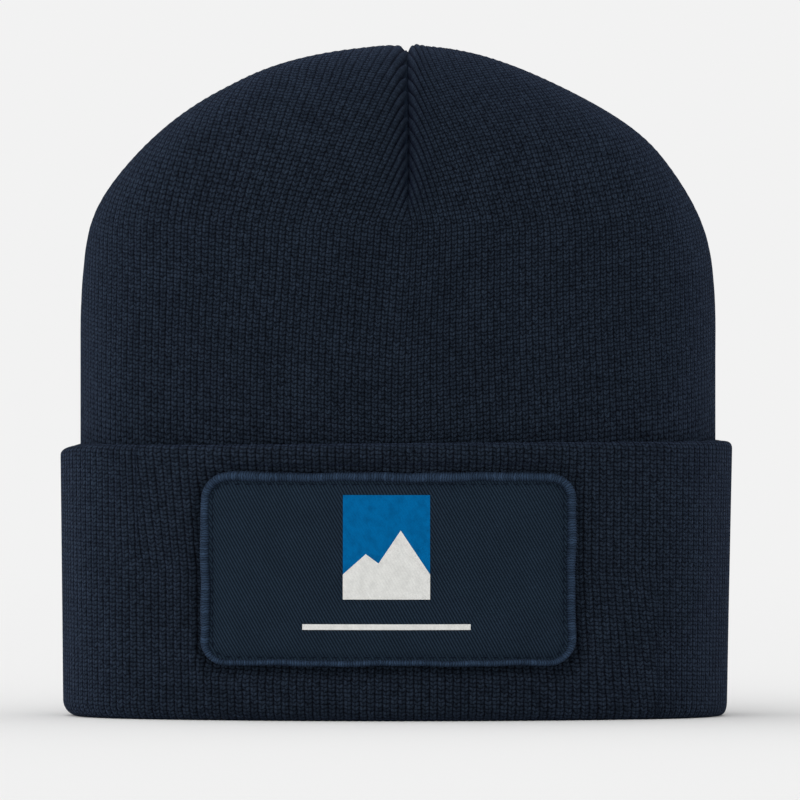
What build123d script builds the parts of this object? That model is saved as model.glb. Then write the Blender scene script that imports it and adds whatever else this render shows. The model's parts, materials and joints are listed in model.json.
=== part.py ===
"""Cuffed knit beanie in double rib knit, with a patch sewn on the front of its cuff.

Millimetres, +Z up. The hat stands on its turned-up cuff as if on a head form: the front
faces -Y, and the origin is at the middle of the footprint, on the lower fold.

One long knitted tube makes the whole hat. Both its ends are closed with four darts, one
end is pushed into the other as a lining, and the rim is turned up as a cuff. So the
layers at the side wall are, from outside in: cuff outer, cuff inner, outer shell, lining.
"""
import os
from math import cos, radians, sin, sqrt

from build123d import *

# ---- The hat as a whole ------------------------------------------------------------
hat_width = 214.0            # across the cuff
hat_depth = 120.0            # front to back over the cuff, without the patch
hat_height = 214.0           # from the lower fold to the top of the crown
side_radius = 45.0           # round of the cuff's two sides, seen from above

# ---- Knit layers -------------------------------------------------------------------
knit = 2.2                   # one layer of rib knit
fold_gap = 0.4               # between the two layers of the cuff
slide_gap = 0.9              # between the cuff and the crown behind it
seam_gap = 2.4               # between the outer shell and the lining
body_gap = 0.4               # from the lower folds to the layers that lift off them

# ---- Crown -------------------------------------------------------------------------
shoulder_height = 123.0      # where the crown starts to round in
crown_power = 2.35           # how square the crown's outline is, seen from the front
crown_steps = 9              # sections that the dome is lofted through
crown_last_angle = 85.0      # degrees, the last section's place on the dome's outline

# ---- Cuff --------------------------------------------------------------------------
cuff_height = 88.0           # from the lower fold to the rolled top edge
hem_height = 7.0             # the rolled edge at the cuff's top
hem_round = 2.1              # its outer corners
turn_height = 9.0            # the lower fold, where the layers turn back up
turn_round = 5.0             # the lower fold's outer corner
turn_inner_round = 2.0       # its corner on the head side, and those of the nested fold

# ---- Darts and tack ----------------------------------------------------------------
seam_length = 56.0           # height of a dart below the crown's top
seam_width = 6.0             # the two seam allowances, laid open
seam_thickness = 1.0
seam_clearance = 0.15        # off the layer that the seam belongs to
tack_diameter = 9.0          # gathering stitches where the four darts meet
tack_spacing = 1.0           # from the tack to the start of a dart

# ---- Patch -------------------------------------------------------------------------
patch_width = 119.8
patch_height = 63.5
patch_corner = 9.0
patch_shift = -2.7           # sideways, from the hat's middle
patch_rise = 3.4             # its middle above the middle of the cuff
border_width = 3.7           # overlocked edge
border_thickness = 2.4
backing_thickness = 0.4
twill_thickness = 1.0
ply_gap = 0.1                # between plies of the patch
ink_thickness = 0.2
stitch_length = 2.2
stitch_pitch = 3.4
stitch_width = 0.5
stitch_rise = 0.6            # above the twill
stitch_inset = 0.5           # from the border to the stitch line

# ---- Print on the patch ------------------------------------------------------------
panel_width = 27.5
panel_height = 33.3
panel_shift = -0.5           # sideways, from the patch's middle
panel_foot = 22.7            # above the patch's lower edge
hill_flank = 8.0             # height of the hills at the panel's two sides
low_hill = 14.5              # heights above the panel's foot, and places off the middle
low_hill_x = -6.5
saddle = 11.5
saddle_x = -2.5
high_hill = 22.0
high_hill_x = 4.5
rule_width = 53.0
rule_height = 1.8
rule_foot = 13.0             # above the patch's lower edge

# ---- Care label --------------------------------------------------------------------
label_width = 26.0
label_height = 22.0
label_thickness = 0.4
label_foot = 72.0            # above the lower fold, at the back of the lining
label_gap = 0.2              # off the lining
label_stitch_pitch = 3.0

# ---- Worked out --------------------------------------------------------------------
half_width = hat_width / 2
half_depth = hat_depth / 2
inner_ply_inset = knit + fold_gap
cuff_thickness = inner_ply_inset + knit
shell_inset = cuff_thickness + slide_gap
lining_inset = shell_inset + knit + seam_gap
cavity_inset = lining_inset + knit
dome_height = hat_height - shoulder_height
middle_y = border_thickness / 2   # puts the patch's front and the back as far from Y = 0
front_radius = ((half_width - side_radius) ** 2 + half_depth**2 - side_radius**2) / (
    2 * (half_depth - side_radius)
)
front_centre_y = middle_y + front_radius - half_depth
patch_middle = cuff_height / 2 + patch_rise
patch_foot = patch_middle - patch_height / 2


def keep(piece, name):
    """Label a finished piece and write its file."""
    piece.part.label = name
    export_step(piece.part, f"parts/{name}.step")


# ---- Shared shapes -----------------------------------------------------------------
def level(height):
    """Horizontal plane at a height, on the hat's own middle line."""
    return Plane((0, middle_y, height))


def oval(width, depth, round_radius):
    """Filled oval of four arcs, given by its half width, half depth and sides' radius."""
    flat_radius = ((width - round_radius) ** 2 + depth**2 - round_radius**2) / (
        2 * (depth - round_radius)
    )
    lean = (width - round_radius) / (flat_radius - round_radius)
    join_x = flat_radius * lean
    join_y = round_radius * sqrt(1 - lean**2)
    with BuildSketch() as outline:
        with BuildLine():
            ThreePointArc((-join_x, -join_y), (0, -depth), (join_x, -join_y))
            ThreePointArc((join_x, -join_y), (width, 0), (join_x, join_y))
            ThreePointArc((join_x, join_y), (0, depth), (-join_x, join_y))
            ThreePointArc((-join_x, join_y), (-width, 0), (-join_x, -join_y))
        make_face()
    return outline.sketch


def wall_oval(inset):
    """Plan of the side wall, a distance inside the cuff's outer face."""
    return oval(half_width - inset, half_depth - inset, side_radius - inset)


def band(outer_inset, inner_inset, foot, head):
    """Upright band of the side wall between two insets and two heights."""
    outside = wall_oval(outer_inset)
    inside = wall_oval(inner_inset)
    with BuildPart() as wall:
        with BuildSketch(level(foot)):
            add(outside)
            add(inside, mode=Mode.SUBTRACT)
        extrude(amount=head - foot)
    return wall.part


def crown_form(inset, foot):
    """Solid that fills the crown up to a layer's face, from a height up over the dome."""
    plan = wall_oval(inset)
    rise = dome_height - (inset - shell_inset)
    last_level = sin(radians(crown_last_angle)) ** (2 / crown_power)
    sections = []
    for step in range(crown_steps):
        angle = radians(crown_last_angle * step / (crown_steps - 1))
        share = cos(angle)
        height = shoulder_height + rise * sin(angle) ** (2 / crown_power) / last_level
        section = oval(
            (half_width - inset) * share,
            (half_depth - inset) * share,
            (side_radius - inset) * share,
        )
        sections.append((height, section))
    with BuildPart() as form:
        for height, section in sections:
            with BuildSketch(level(height)):
                add(section)
        loft()
        with BuildSketch(level(foot)):
            add(plan)
        extrude(amount=shoulder_height - foot)
    return form.part


def crown_layer(inset, thickness, foot):
    """One closed-topped layer of the crown, open at its foot."""
    outside = crown_form(inset, foot)
    inside = crown_form(inset + thickness, foot)
    with BuildPart() as layer:
        add(outside)
        add(inside, mode=Mode.SUBTRACT)
    return layer.part


def wrapped(outline, outward, thickness, foot, head):
    """A flat outline, given as seen from the front, wrapped at a distance off the cuff."""
    with BuildPart() as ply:
        with BuildSketch(Plane.XZ):
            add(outline)
        extrude(amount=hat_depth)
        with BuildSketch(Plane((0, front_centre_y, foot))):
            Circle(front_radius + outward + thickness)
            Circle(front_radius + outward, mode=Mode.SUBTRACT)
        extrude(amount=head - foot, mode=Mode.INTERSECT)
    return ply.part


# ---- Crown -------------------------------------------------------------------------
def make_crown_shells():
    """Outer shell and lining, down to the folds that join them to the cuff."""
    foot = turn_height + body_gap
    shell_solid = crown_layer(shell_inset, knit, foot)
    lining_solid = crown_layer(lining_inset, knit, foot)

    with BuildPart() as outer_shell:
        add(shell_solid)
    keep(outer_shell, "outer_shell")

    with BuildPart() as lining_shell:
        add(lining_solid)
    keep(lining_shell, "lining_shell")


def make_dart_seams(layer_name, inset):
    """The seam allowances of a layer's four darts, in the space between the layers."""
    layer = crown_layer(inset, seam_thickness, shoulder_height - knit)
    start = tack_diameter / 2 + tack_spacing
    for turn, side in enumerate(("right", "back", "left", "front")):
        with BuildPart() as dart_seam:
            with BuildSketch(level(hat_height - seam_length)):
                with PolarLocations(start + hat_width / 2, 1, start_angle=90 * turn):
                    Rectangle(hat_width, seam_width)
            extrude(amount=seam_length)
            add(layer, mode=Mode.INTERSECT)
        keep(dart_seam, f"{layer_name}_seam_{side}")


def make_crown_tack():
    """The gathering stitches at the top, where the darts of both layers meet."""
    inset = shell_inset + knit + seam_clearance
    layer = crown_layer(inset, seam_gap - 2 * seam_clearance, shoulder_height - knit)
    with BuildPart() as crown_tack:
        with BuildSketch(level(shoulder_height)):
            Circle(tack_diameter / 2)
        extrude(amount=dome_height)
        add(layer, mode=Mode.INTERSECT)
    keep(crown_tack, "crown_tack")


def make_care_label():
    """Woven label at the back of the lining, and the stitches along its top edge."""
    wall_radius = front_radius - cavity_inset - label_gap
    back_centre = Plane((0, middle_y - front_radius + half_depth, label_foot))
    sew_line = label_foot + label_height - stitch_width
    stitch_count = int(label_width / label_stitch_pitch)

    with BuildPart() as care_label:
        with BuildSketch(Plane.XZ):
            with Locations((0, label_foot + label_height / 2)):
                Rectangle(label_width, label_height)
        extrude(amount=-hat_depth)
        with BuildSketch(back_centre):
            Circle(wall_radius)
            Circle(wall_radius - label_thickness, mode=Mode.SUBTRACT)
        extrude(amount=label_height, mode=Mode.INTERSECT)
    keep(care_label, "care_label")

    with BuildPart() as label_stitches:
        with BuildSketch(Plane.XZ):
            with Locations((0, sew_line)):
                with GridLocations(label_stitch_pitch, 0, stitch_count, 1):
                    Rectangle(stitch_length, stitch_width)
        extrude(amount=-hat_depth)
        with BuildSketch(back_centre):
            Circle(wall_radius - label_thickness)
            Circle(wall_radius - label_thickness - ink_thickness, mode=Mode.SUBTRACT)
        extrude(amount=label_height, mode=Mode.INTERSECT)
    keep(label_stitches, "label_stitches")


# ---- Cuff --------------------------------------------------------------------------
def make_cuff_band():
    """The cuff's two upright layers and the rolled edge over them."""
    hem_foot = cuff_height - hem_height
    outer_ply = band(0, knit, turn_height, hem_foot)
    inner_ply = band(inner_ply_inset, cuff_thickness, turn_height, hem_foot)
    roll = band(0, cuff_thickness, hem_foot, cuff_height)
    roll_hollow = band(knit, inner_ply_inset, hem_foot, cuff_height - knit)

    with BuildPart() as cuff_outer:
        add(outer_ply)
    keep(cuff_outer, "cuff_outer")

    with BuildPart() as cuff_inner:
        add(inner_ply)
    keep(cuff_inner, "cuff_inner")

    with BuildPart() as cuff_hem:
        add(roll)
        fillet(cuff_hem.edges().group_by(Axis.Z)[-1], radius=hem_round)
        add(roll_hollow, mode=Mode.SUBTRACT)
    keep(cuff_hem, "cuff_hem")


def make_lower_folds():
    """The nested folds at the foot, where the lining and the shell turn up as the cuff."""
    lining_fold = band(0, cavity_inset, 0, turn_height)
    lining_hollow = band(knit, lining_inset, knit, turn_height)
    shell_fold = band(inner_ply_inset, shell_inset + knit, inner_ply_inset, turn_height)
    shell_hollow = band(cuff_thickness, shell_inset, inner_ply_inset + knit, turn_height)

    with BuildPart() as lining_turn:
        add(lining_fold)
        foot_face = lining_turn.faces().sort_by(Axis.Z)[0]
        fillet(foot_face.outer_wire().edges(), radius=turn_round)
        foot_face = lining_turn.faces().sort_by(Axis.Z)[0]
        fillet(foot_face.inner_wires()[0].edges(), radius=turn_inner_round)
        add(lining_hollow, mode=Mode.SUBTRACT)
    keep(lining_turn, "lining_turn")

    with BuildPart() as shell_turn:
        add(shell_fold)
        foot_face = shell_turn.faces().sort_by(Axis.Z)[0]
        fillet(foot_face.edges(), radius=turn_inner_round)
        add(shell_hollow, mode=Mode.SUBTRACT)
    keep(shell_turn, "shell_turn")


# ---- Patch -------------------------------------------------------------------------
def patch_outline(inset):
    """The patch's rounded rectangle, drawn a distance inside its outer edge."""
    with BuildSketch() as outline:
        with Locations((patch_shift, patch_middle)):
            RectangleRounded(
                patch_width - 2 * inset,
                patch_height - 2 * inset,
                patch_corner - inset,
            )
    return outline.sketch


def stitch_outlines(inset):
    """Stitches end to end round the patch, a distance inside its outer edge."""
    run_x = patch_width - 2 * patch_corner
    run_z = patch_height - 2 * patch_corner
    corner = patch_corner - inset
    with BuildSketch() as stitches:
        with Locations((patch_shift, patch_middle)):
            with GridLocations(stitch_pitch, patch_height - 2 * inset, int(run_x / stitch_pitch), 2):
                Rectangle(stitch_length, stitch_width)
            with GridLocations(patch_width - 2 * inset, stitch_pitch, 2, int(run_z / stitch_pitch)):
                Rectangle(stitch_width, stitch_length)
            for across in (-1, 1):
                for up in (-1, 1):
                    with Locations((across * run_x / 2, up * run_z / 2)):
                        with PolarLocations(corner, 1, start_angle=90 - 45 * across * (2 - up)):
                            Rectangle(stitch_width, stitch_length)
    return stitches.sketch


def make_patch():
    """Backing, twill face, overlocked border and the stitches that hold the patch on."""
    foot = patch_foot
    head = patch_foot + patch_height
    inside = border_width + ply_gap
    twill_out = ply_gap + backing_thickness + ply_gap
    stitch_line = inside + stitch_inset + stitch_width / 2
    border_face = patch_outline(0) - patch_outline(border_width)

    plies = {
        "patch_backing": (patch_outline(inside), ply_gap, backing_thickness),
        "patch_face": (patch_outline(inside), twill_out, twill_thickness),
        "patch_border": (border_face, ply_gap, border_thickness - ply_gap),
        "patch_stitches": (
            stitch_outlines(stitch_line),
            twill_out + twill_thickness,
            stitch_rise,
        ),
    }
    for name, (outline, outward, thickness) in plies.items():
        ply = wrapped(outline, outward, thickness, foot, head)
        with BuildPart() as patch_ply:
            add(ply)
        keep(patch_ply, name)


def make_print():
    """A plain coloured panel, a low and a high hill on it, and a plain rule below."""
    face_out = ply_gap + backing_thickness + ply_gap + twill_thickness
    middle = patch_shift + panel_shift
    panel_low = patch_foot + panel_foot
    panel_reach = panel_width / 2
    rule_low = patch_foot + rule_foot

    with BuildSketch() as panel_outline:
        with Locations((middle, panel_low + panel_height / 2)):
            Rectangle(panel_width, panel_height)

    with BuildSketch() as hills:
        with BuildLine():
            Polyline(
                (-panel_reach, 0),
                (-panel_reach, hill_flank),
                (low_hill_x, low_hill),
                (saddle_x, saddle),
                (high_hill_x, high_hill),
                (panel_reach, hill_flank),
                (panel_reach, 0),
                close=True,
            )
        make_face()

    with BuildSketch() as hills_outline:
        with Locations((middle, panel_low)):
            add(hills.sketch)

    with BuildSketch() as rule_outline:
        with Locations((middle, rule_low + rule_height / 2)):
            Rectangle(rule_width, rule_height)

    films = {
        "print_panel": (panel_outline.sketch, face_out),
        "print_hills": (hills_outline.sketch, face_out + ink_thickness),
        "print_rule": (rule_outline.sketch, face_out),
    }
    for name, (outline, outward) in films.items():
        film = wrapped(outline, outward, ink_thickness, rule_low, panel_low + panel_height)
        with BuildPart() as print_film:
            add(film)
        keep(print_film, name)


if __name__ == "__main__":
    os.makedirs("parts", exist_ok=True)
    make_crown_shells()
    make_dart_seams("crown", shell_inset + knit + seam_clearance)
    make_dart_seams("lining", lining_inset - seam_clearance - seam_thickness)
    make_crown_tack()
    make_care_label()
    make_cuff_band()
    make_lower_folds()
    make_patch()
    make_print()
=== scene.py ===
"""Cuffed rib-knit beanie with a sewn patch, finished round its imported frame.

Metres, +Z up, the front towards -Y. The knit is made in the fabric's own terms: a wale is a
column of stitches, a course is a row, and a dart is where the crown's wales are cut and
joined. Each knit layer is one closed skin whose ribs are real relief; the single stitches
are in its material.
"""

import json
import logging
import math
from dataclasses import dataclass, field
from enum import Enum

import bmesh
import bpy
import numpy as np
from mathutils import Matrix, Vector

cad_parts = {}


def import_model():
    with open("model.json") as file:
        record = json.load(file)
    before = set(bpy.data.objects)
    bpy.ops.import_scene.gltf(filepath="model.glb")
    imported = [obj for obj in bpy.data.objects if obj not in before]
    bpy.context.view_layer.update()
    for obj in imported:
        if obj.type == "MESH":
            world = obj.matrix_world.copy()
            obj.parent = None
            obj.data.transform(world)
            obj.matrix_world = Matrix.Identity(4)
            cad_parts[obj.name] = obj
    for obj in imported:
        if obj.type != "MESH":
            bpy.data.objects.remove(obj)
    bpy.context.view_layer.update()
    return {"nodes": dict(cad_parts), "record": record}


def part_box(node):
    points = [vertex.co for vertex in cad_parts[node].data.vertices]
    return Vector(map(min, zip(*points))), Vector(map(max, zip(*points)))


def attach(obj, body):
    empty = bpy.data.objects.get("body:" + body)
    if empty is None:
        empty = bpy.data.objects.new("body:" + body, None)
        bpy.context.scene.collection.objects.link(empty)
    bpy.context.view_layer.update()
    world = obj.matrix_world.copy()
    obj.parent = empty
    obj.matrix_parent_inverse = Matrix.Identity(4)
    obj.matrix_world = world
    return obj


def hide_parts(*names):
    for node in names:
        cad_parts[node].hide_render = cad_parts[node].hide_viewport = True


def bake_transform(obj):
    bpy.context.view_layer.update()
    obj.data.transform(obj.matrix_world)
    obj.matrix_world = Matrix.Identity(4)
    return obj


Tree = bpy.types.NodeTree
Socket = bpy.types.NodeSocket
Piece = bpy.types.Object
Array = np.ndarray

MM = 0.001
LOG = logging.getLogger("beanie")
STITCH_MAP = "stitches"
# How far the darts pull the wales apart; the knit's material deepens the gaps between them by it and
# paints shade into them.
GAPE = "gape"
HALF = 0.5
# Stands in for nothing where a size has to be divided by or closed in to.
LEAST = 1e-5
# The noise keeps mostly to this span of its values.
NOISE_LOW, NOISE_HIGH = 0.25, 0.75
# The sRGB curve: straight up to its knee, then a power.
KNEE, KNEE_SLOPE, CURVE_LIFT, CURVE_POWER = 0.04045, 12.92, 0.055, 2.4
# Sizes of the part that the boxes of its nodes don't give.
SIDE_RADIUS = 45 * MM
KNIT = 2.2 * MM
SHOULDER = 123 * MM
CROWN_POWER = 2.35
PATCH_CORNER = 9 * MM
PATCH_BORDER = 3.7 * MM
# How full a rib's crest is, and the angle from which an edge stays sharp.
RIB_ROUND = 0.7
SHARP_ANGLE = math.radians(70)


# ---- Shared helpers ----------------------------------------------------------------
def linear(code: str) -> tuple[float, float, float, float]:
    """Turns an sRGB hex colour into linear light.

    Args:
        code: The colour, such as "#1a2b3c".

    Returns:
        Red, green, blue and an alpha of one.
    """
    parts = [int(code[place : place + 2], 16) / 255 for place in (1, 3, 5)]
    bright = [
        part / KNEE_SLOPE
        if part <= KNEE
        else ((part + CURVE_LIFT) / (1 + CURVE_LIFT)) ** CURVE_POWER
        for part in parts
    ]
    return (bright[0], bright[1], bright[2], 1.0)


def smooth_step(value: Array | float, low: float, high: float) -> Array:
    """Rises from 0 at low to 1 at high, with level ends.

    Args:
        value: Where to read the step.
        low: Where it leaves 0.
        high: Where it reaches 1.

    Returns:
        The step at each value.
    """
    share = np.clip((np.asarray(value, float) - low) / (high - low), 0.0, 1.0)
    return share * share * (3 - 2 * share)


def bell(value: Array | float, width: float) -> Array:
    """A smooth hump of height 1 at zero, of the given half width."""
    return np.exp(-((np.asarray(value, float) / width) ** 2))


@dataclass(frozen=True)
class Hump:
    """A smooth hump, or a hollow where its size is negative.

    Attributes:
        size: Its height.
        place: Where it is highest.
        width: Half its width.
    """

    size: float
    place: float
    width: float

    def at(self, value: Array | float) -> Array:
        """Its height at a place."""
        return self.size * bell(value - self.place, self.width)


def add_node(
    tree: Tree, kind: str, inputs: dict | None = None, **settings: object
) -> bpy.types.Node:
    """Adds a shader node, sets its properties and fills or links its inputs.

    Args:
        tree: The material's node tree.
        kind: The node's type name.
        inputs: Input name or number to a value, or to the socket that feeds it.
        **settings: The node's own properties.

    Returns:
        The new node.
    """
    node = tree.nodes.new(kind)
    for name, value in settings.items():
        setattr(node, name, value)
    for key, value in (inputs or {}).items():
        if isinstance(value, Socket):
            tree.links.new(value, node.inputs[key])
        else:
            node.inputs[key].default_value = value
    return node


def calculate(tree: Tree, operation: str, *values: object) -> Socket:
    """Adds one arithmetic step to a material.

    Args:
        tree: The material's node tree.
        operation: The sum to do, as Blender names it.
        *values: Numbers, or the sockets that feed them.

    Returns:
        The socket with the answer.
    """
    inputs = dict(enumerate(values))
    return add_node(tree, "ShaderNodeMath", inputs, operation=operation).outputs[0]


# ---- Finishes ----------------------------------------------------------------------
@dataclass(frozen=True)
class Mottle:
    """Uneven brightness or thickness that follows the object itself.

    Attributes:
        size: Width of a blotch in metres.
        detail: How many finer layers lie on it.
        low: Lowest value.
        high: Highest value.
    """

    size: float
    detail: float
    low: float
    high: float

    def add(self, tree: Tree) -> Socket:
        """Adds it to a material.

        Args:
            tree: The material's node tree.

        Returns:
            The socket with its value.
        """
        place = add_node(tree, "ShaderNodeTexCoord").outputs["Object"]
        noise = add_node(
            tree,
            "ShaderNodeTexNoise",
            {"Vector": place, "Scale": 1 / self.size, "Detail": self.detail},
        )
        inputs = {"Value": noise.outputs[0], "From Min": NOISE_LOW, "From Max": NOISE_HIGH}
        inputs.update({"To Min": self.low, "To Max": self.high})
        return add_node(tree, "ShaderNodeMapRange", inputs).outputs[0]


def vary(
    tree: Tree, colour: Socket, amount: Socket
) -> Socket:
    """Brightens or darkens a colour.

    Args:
        tree: The material's node tree.
        colour: The colour to change.
        amount: What its brightness is multiplied by.

    Returns:
        The changed colour.
    """
    inputs = {"Value": amount, "Color": colour, "Saturation": 1.0}
    return add_node(tree, "ShaderNodeHueSaturation", inputs).outputs[0]


def wave(
    tree: Tree, value: Socket, turn: float
) -> Socket:
    """The sine of a value, which goes through an angle for each unit of it.

    Args:
        tree: The material's node tree.
        value: The value.
        turn: The angle for a unit, in radians.

    Returns:
        The socket with the sine.
    """
    return calculate(tree, "SINE", calculate(tree, "MULTIPLY", value, turn))


def stitch_axes(
    tree: Tree,
) -> tuple[Socket, Socket]:
    """The two directions of a piece's stitch map: across its threads, and along them."""
    stitch_map = add_node(tree, "ShaderNodeUVMap", uv_map=STITCH_MAP).outputs[0]
    split = add_node(tree, "ShaderNodeSeparateXYZ", {0: stitch_map})
    return split.outputs[0], split.outputs[1]


def each_differs(
    tree: Tree, chance: Socket, contrast: float
) -> Socket:
    """Gives each thread or stitch a brightness of its own.

    Args:
        tree: The material's node tree.
        chance: A chance number for each thread, from 0 to 1.
        contrast: From the darkest one's brightness to the lightest one's.

    Returns:
        The brightness, 1 on average.
    """
    return calculate(tree, "MULTIPLY_ADD", chance, contrast, 1 - contrast / 2)


@dataclass(frozen=True)
class Cloth:
    """What every woven, knitted or stitched finish here has in common.

    Attributes:
        name: The real material's name.
        colour: Thread colour in full light.
        shade: Painted shade: colour in the gaps between threads, where shadow falls;
        in a print, colour where the ink lies thin.
        roughness: How matt the thread is.
        sheen: How much its loose fibres catch light from the side.
        sheen_tint: Colour of that light.
        relief: Height of the thread pattern, in metres.
        gloss: How strongly the thread's surface mirrors light.
        sheen_spread: How widely the fibres scatter that light.
        lit: Height in the pattern from which a thread has its full colour.
    """

    name: str
    colour: str
    shade: str
    roughness: float
    sheen: float
    sheen_tint: str
    relief: float
    gloss: float = 0.02
    sheen_spread: float = 0.45
    lit: float = 0.9

    def start(self) -> tuple[bpy.types.Material, Tree]:
        """Makes the empty material and its tree."""
        material = bpy.data.materials.new(self.name)
        material.use_nodes = True
        material.node_tree.nodes.clear()
        material.diffuse_color = linear(self.colour)
        return material, material.node_tree

    def finish(
        self, tree: Tree, colour: Socket, height: Socket
    ) -> None:
        """Joins a colour and a height to the surface.

        Args:
            tree: The material's node tree.
            colour: The thread pattern's colour.
            height: The thread pattern's height, from 0 to 1.
        """
        bump = add_node(
            tree, "ShaderNodeBump", {"Height": height, "Strength": 1.0, "Distance": self.relief}
        )
        surface = add_node(
            tree,
            "ShaderNodeBsdfPrincipled",
            {
                "Base Color": colour,
                "Roughness": self.roughness,
                "Sheen Weight": self.sheen,
                "Sheen Roughness": self.sheen_spread,
                "Sheen Tint": linear(self.sheen_tint),
                "Specular IOR Level": self.gloss,
                "Normal": bump.outputs["Normal"],
            },
        )
        add_node(tree, "ShaderNodeOutputMaterial", {"Surface": surface.outputs[0]})

    def tint(
        self, tree: Tree, height: Socket, low: float = 0.0
    ) -> Socket:
        """Paints shade into the gaps between threads, where the pattern is low; in a print it
        marks where the ink lies thin instead.

        Args:
            tree: The material's node tree.
            height: The thread pattern's height, from 0 to 1.
            low: Height under which a gap is at its darkest.

        Returns:
            The shaded colour.
        """
        share = add_node(
            tree, "ShaderNodeMapRange", {"Value": height, "From Min": low, "From Max": self.lit}
        )
        mixed = add_node(tree, "ShaderNodeMix", {0: share.outputs[0]}, data_type="RGBA")
        mixed.inputs[6].default_value = linear(self.shade)
        mixed.inputs[7].default_value = linear(self.colour)
        return mixed.outputs[2]


@dataclass(frozen=True)
class RibKnit(Cloth):
    """Acrylic yarn in one by one rib: columns of V stitches, soft and matt.

    The yarn's loose fibres give the edges a paler, bluer bloom, and each stitch has its own
    small shadow. Read from the piece's stitch map, one unit for a wale and one for a course.

    Attributes:
        leg_slant: How much the two legs of a V slant, in courses.
        centre_gap: Width of the gap down the middle of a V, as a share.
        leg_round: How full a leg's crest is; the lower, the fuller.
        side_round: The same across the wale.
        wander: How unevenly the stitches lie along the wale.
        wander_across: How much of that they also do sideways.
        contrast: How much the stitches differ in brightness.
        rope_round: How full a wale is where a dart has pulled it into a rope.
        rope_level: Height that such a rope's stitches are brought towards.
        rope_fill: How far they are.
        gap_floor: Height under which a gap is at its darkest.
        yarn: Slow change of brightness, as the yarn is dyed.
        fibres: Fine change of brightness, as the fibres lie.
    """

    leg_slant: float = 0.38
    centre_gap: float = 0.12
    leg_round: float = 0.65
    side_round: float = 0.8
    wander: Mottle = Mottle(1.1 * MM, 1.0, 0.0, 0.5)
    wander_across: float = 0.35
    contrast: float = 0.5
    rope_round: float = 0.8
    rope_level: float = 0.75
    rope_fill: float = 0.55
    gap_floor: float = 0.08
    yarn: Mottle = Mottle(14 * MM, 2.0, 0.9, 1.1)
    fibres: Mottle = Mottle(0.5 * MM, 2.0, 0.72, 1.28)

    def build(self) -> bpy.types.Material:
        """Makes the material."""
        material, tree = self.start()
        wale, course = stitch_axes(tree)

        wobble = calculate(tree, "SUBTRACT", self.wander.add(tree), self.wander.high / 2)
        aside = calculate(tree, "MULTIPLY", wobble, self.wander_across)
        across = calculate(tree, "FRACT", calculate(tree, "ADD", wale, aside))
        from_middle = calculate(tree, "ABSOLUTE", calculate(tree, "SUBTRACT", across, HALF))
        off_centre = calculate(tree, "MULTIPLY", from_middle, 2.0)
        fallen = calculate(tree, "MULTIPLY", off_centre, self.leg_slant)
        slanted = calculate(tree, "SUBTRACT", course, fallen)
        along = calculate(tree, "FRACT", calculate(tree, "ADD", slanted, wobble))
        leg = calculate(tree, "POWER", wave(tree, along, math.pi), self.leg_round)
        gap = math.pi * self.centre_gap
        span = calculate(tree, "MULTIPLY_ADD", off_centre, math.pi * (1 - self.centre_gap), gap)
        crest = calculate(tree, "MAXIMUM", calculate(tree, "SINE", span), 0.0)
        side = calculate(tree, "POWER", crest, self.side_round)
        height = calculate(tree, "MULTIPLY", leg, side)

        half = calculate(tree, "FLOOR", calculate(tree, "MULTIPLY", wale, 2.0))
        row = calculate(tree, "FLOOR", slanted)
        stitch = add_node(tree, "ShaderNodeCombineXYZ", {0: half, 1: row})
        chance = add_node(tree, "ShaderNodeTexWhiteNoise", {"Vector": stitch.outputs[0]})

        # Where the darts pull the wales apart, the gaps between the ropes are cut deeper into the
        # pattern: a deeper bump, and painted shade in the opened gaps.
        gape = add_node(tree, "ShaderNodeAttribute", attribute_name=GAPE).outputs["Fac"]
        rope = calculate(tree, "ABSOLUTE", wave(tree, wale, math.pi))
        dark = calculate(tree, "SUBTRACT", 1.0, calculate(tree, "POWER", rope, self.rope_round))
        open_gap = calculate(tree, "SUBTRACT", 1.0, calculate(tree, "MULTIPLY", dark, gape))
        missing = calculate(tree, "SUBTRACT", self.rope_level, height)
        closed = calculate(tree, "MULTIPLY", missing, gape)
        height = calculate(tree, "MULTIPLY_ADD", closed, self.rope_fill, height)
        height = calculate(tree, "MULTIPLY", height, calculate(tree, "MAXIMUM", open_gap, 0.0))

        colour = self.tint(tree, height, self.gap_floor)
        colour = vary(tree, colour, each_differs(tree, chance.outputs[0], self.contrast))
        colour = vary(tree, colour, self.yarn.add(tree))
        colour = vary(tree, colour, self.fibres.add(tree))
        self.finish(tree, colour, height)
        return material


@dataclass(frozen=True)
class Diagonals:
    """The fine raised lines of a twill, which run down to the right.

    Attributes:
        pitch: Sideways distance from one line to the next.
        steepness: How much they fall for each step to the right.
    """

    pitch: float = 1.03 * MM
    steepness: float = 1.8

    def add(self, tree: Tree) -> Socket:
        """Adds their height to a material, from 0 to 1."""
        across, up = stitch_axes(tree)
        along = calculate(tree, "ADD", across, calculate(tree, "DIVIDE", up, self.steepness))
        line = wave(tree, along, 2 * math.pi / self.pitch)
        return calculate(tree, "MULTIPLY_ADD", line, HALF, HALF)


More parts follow.
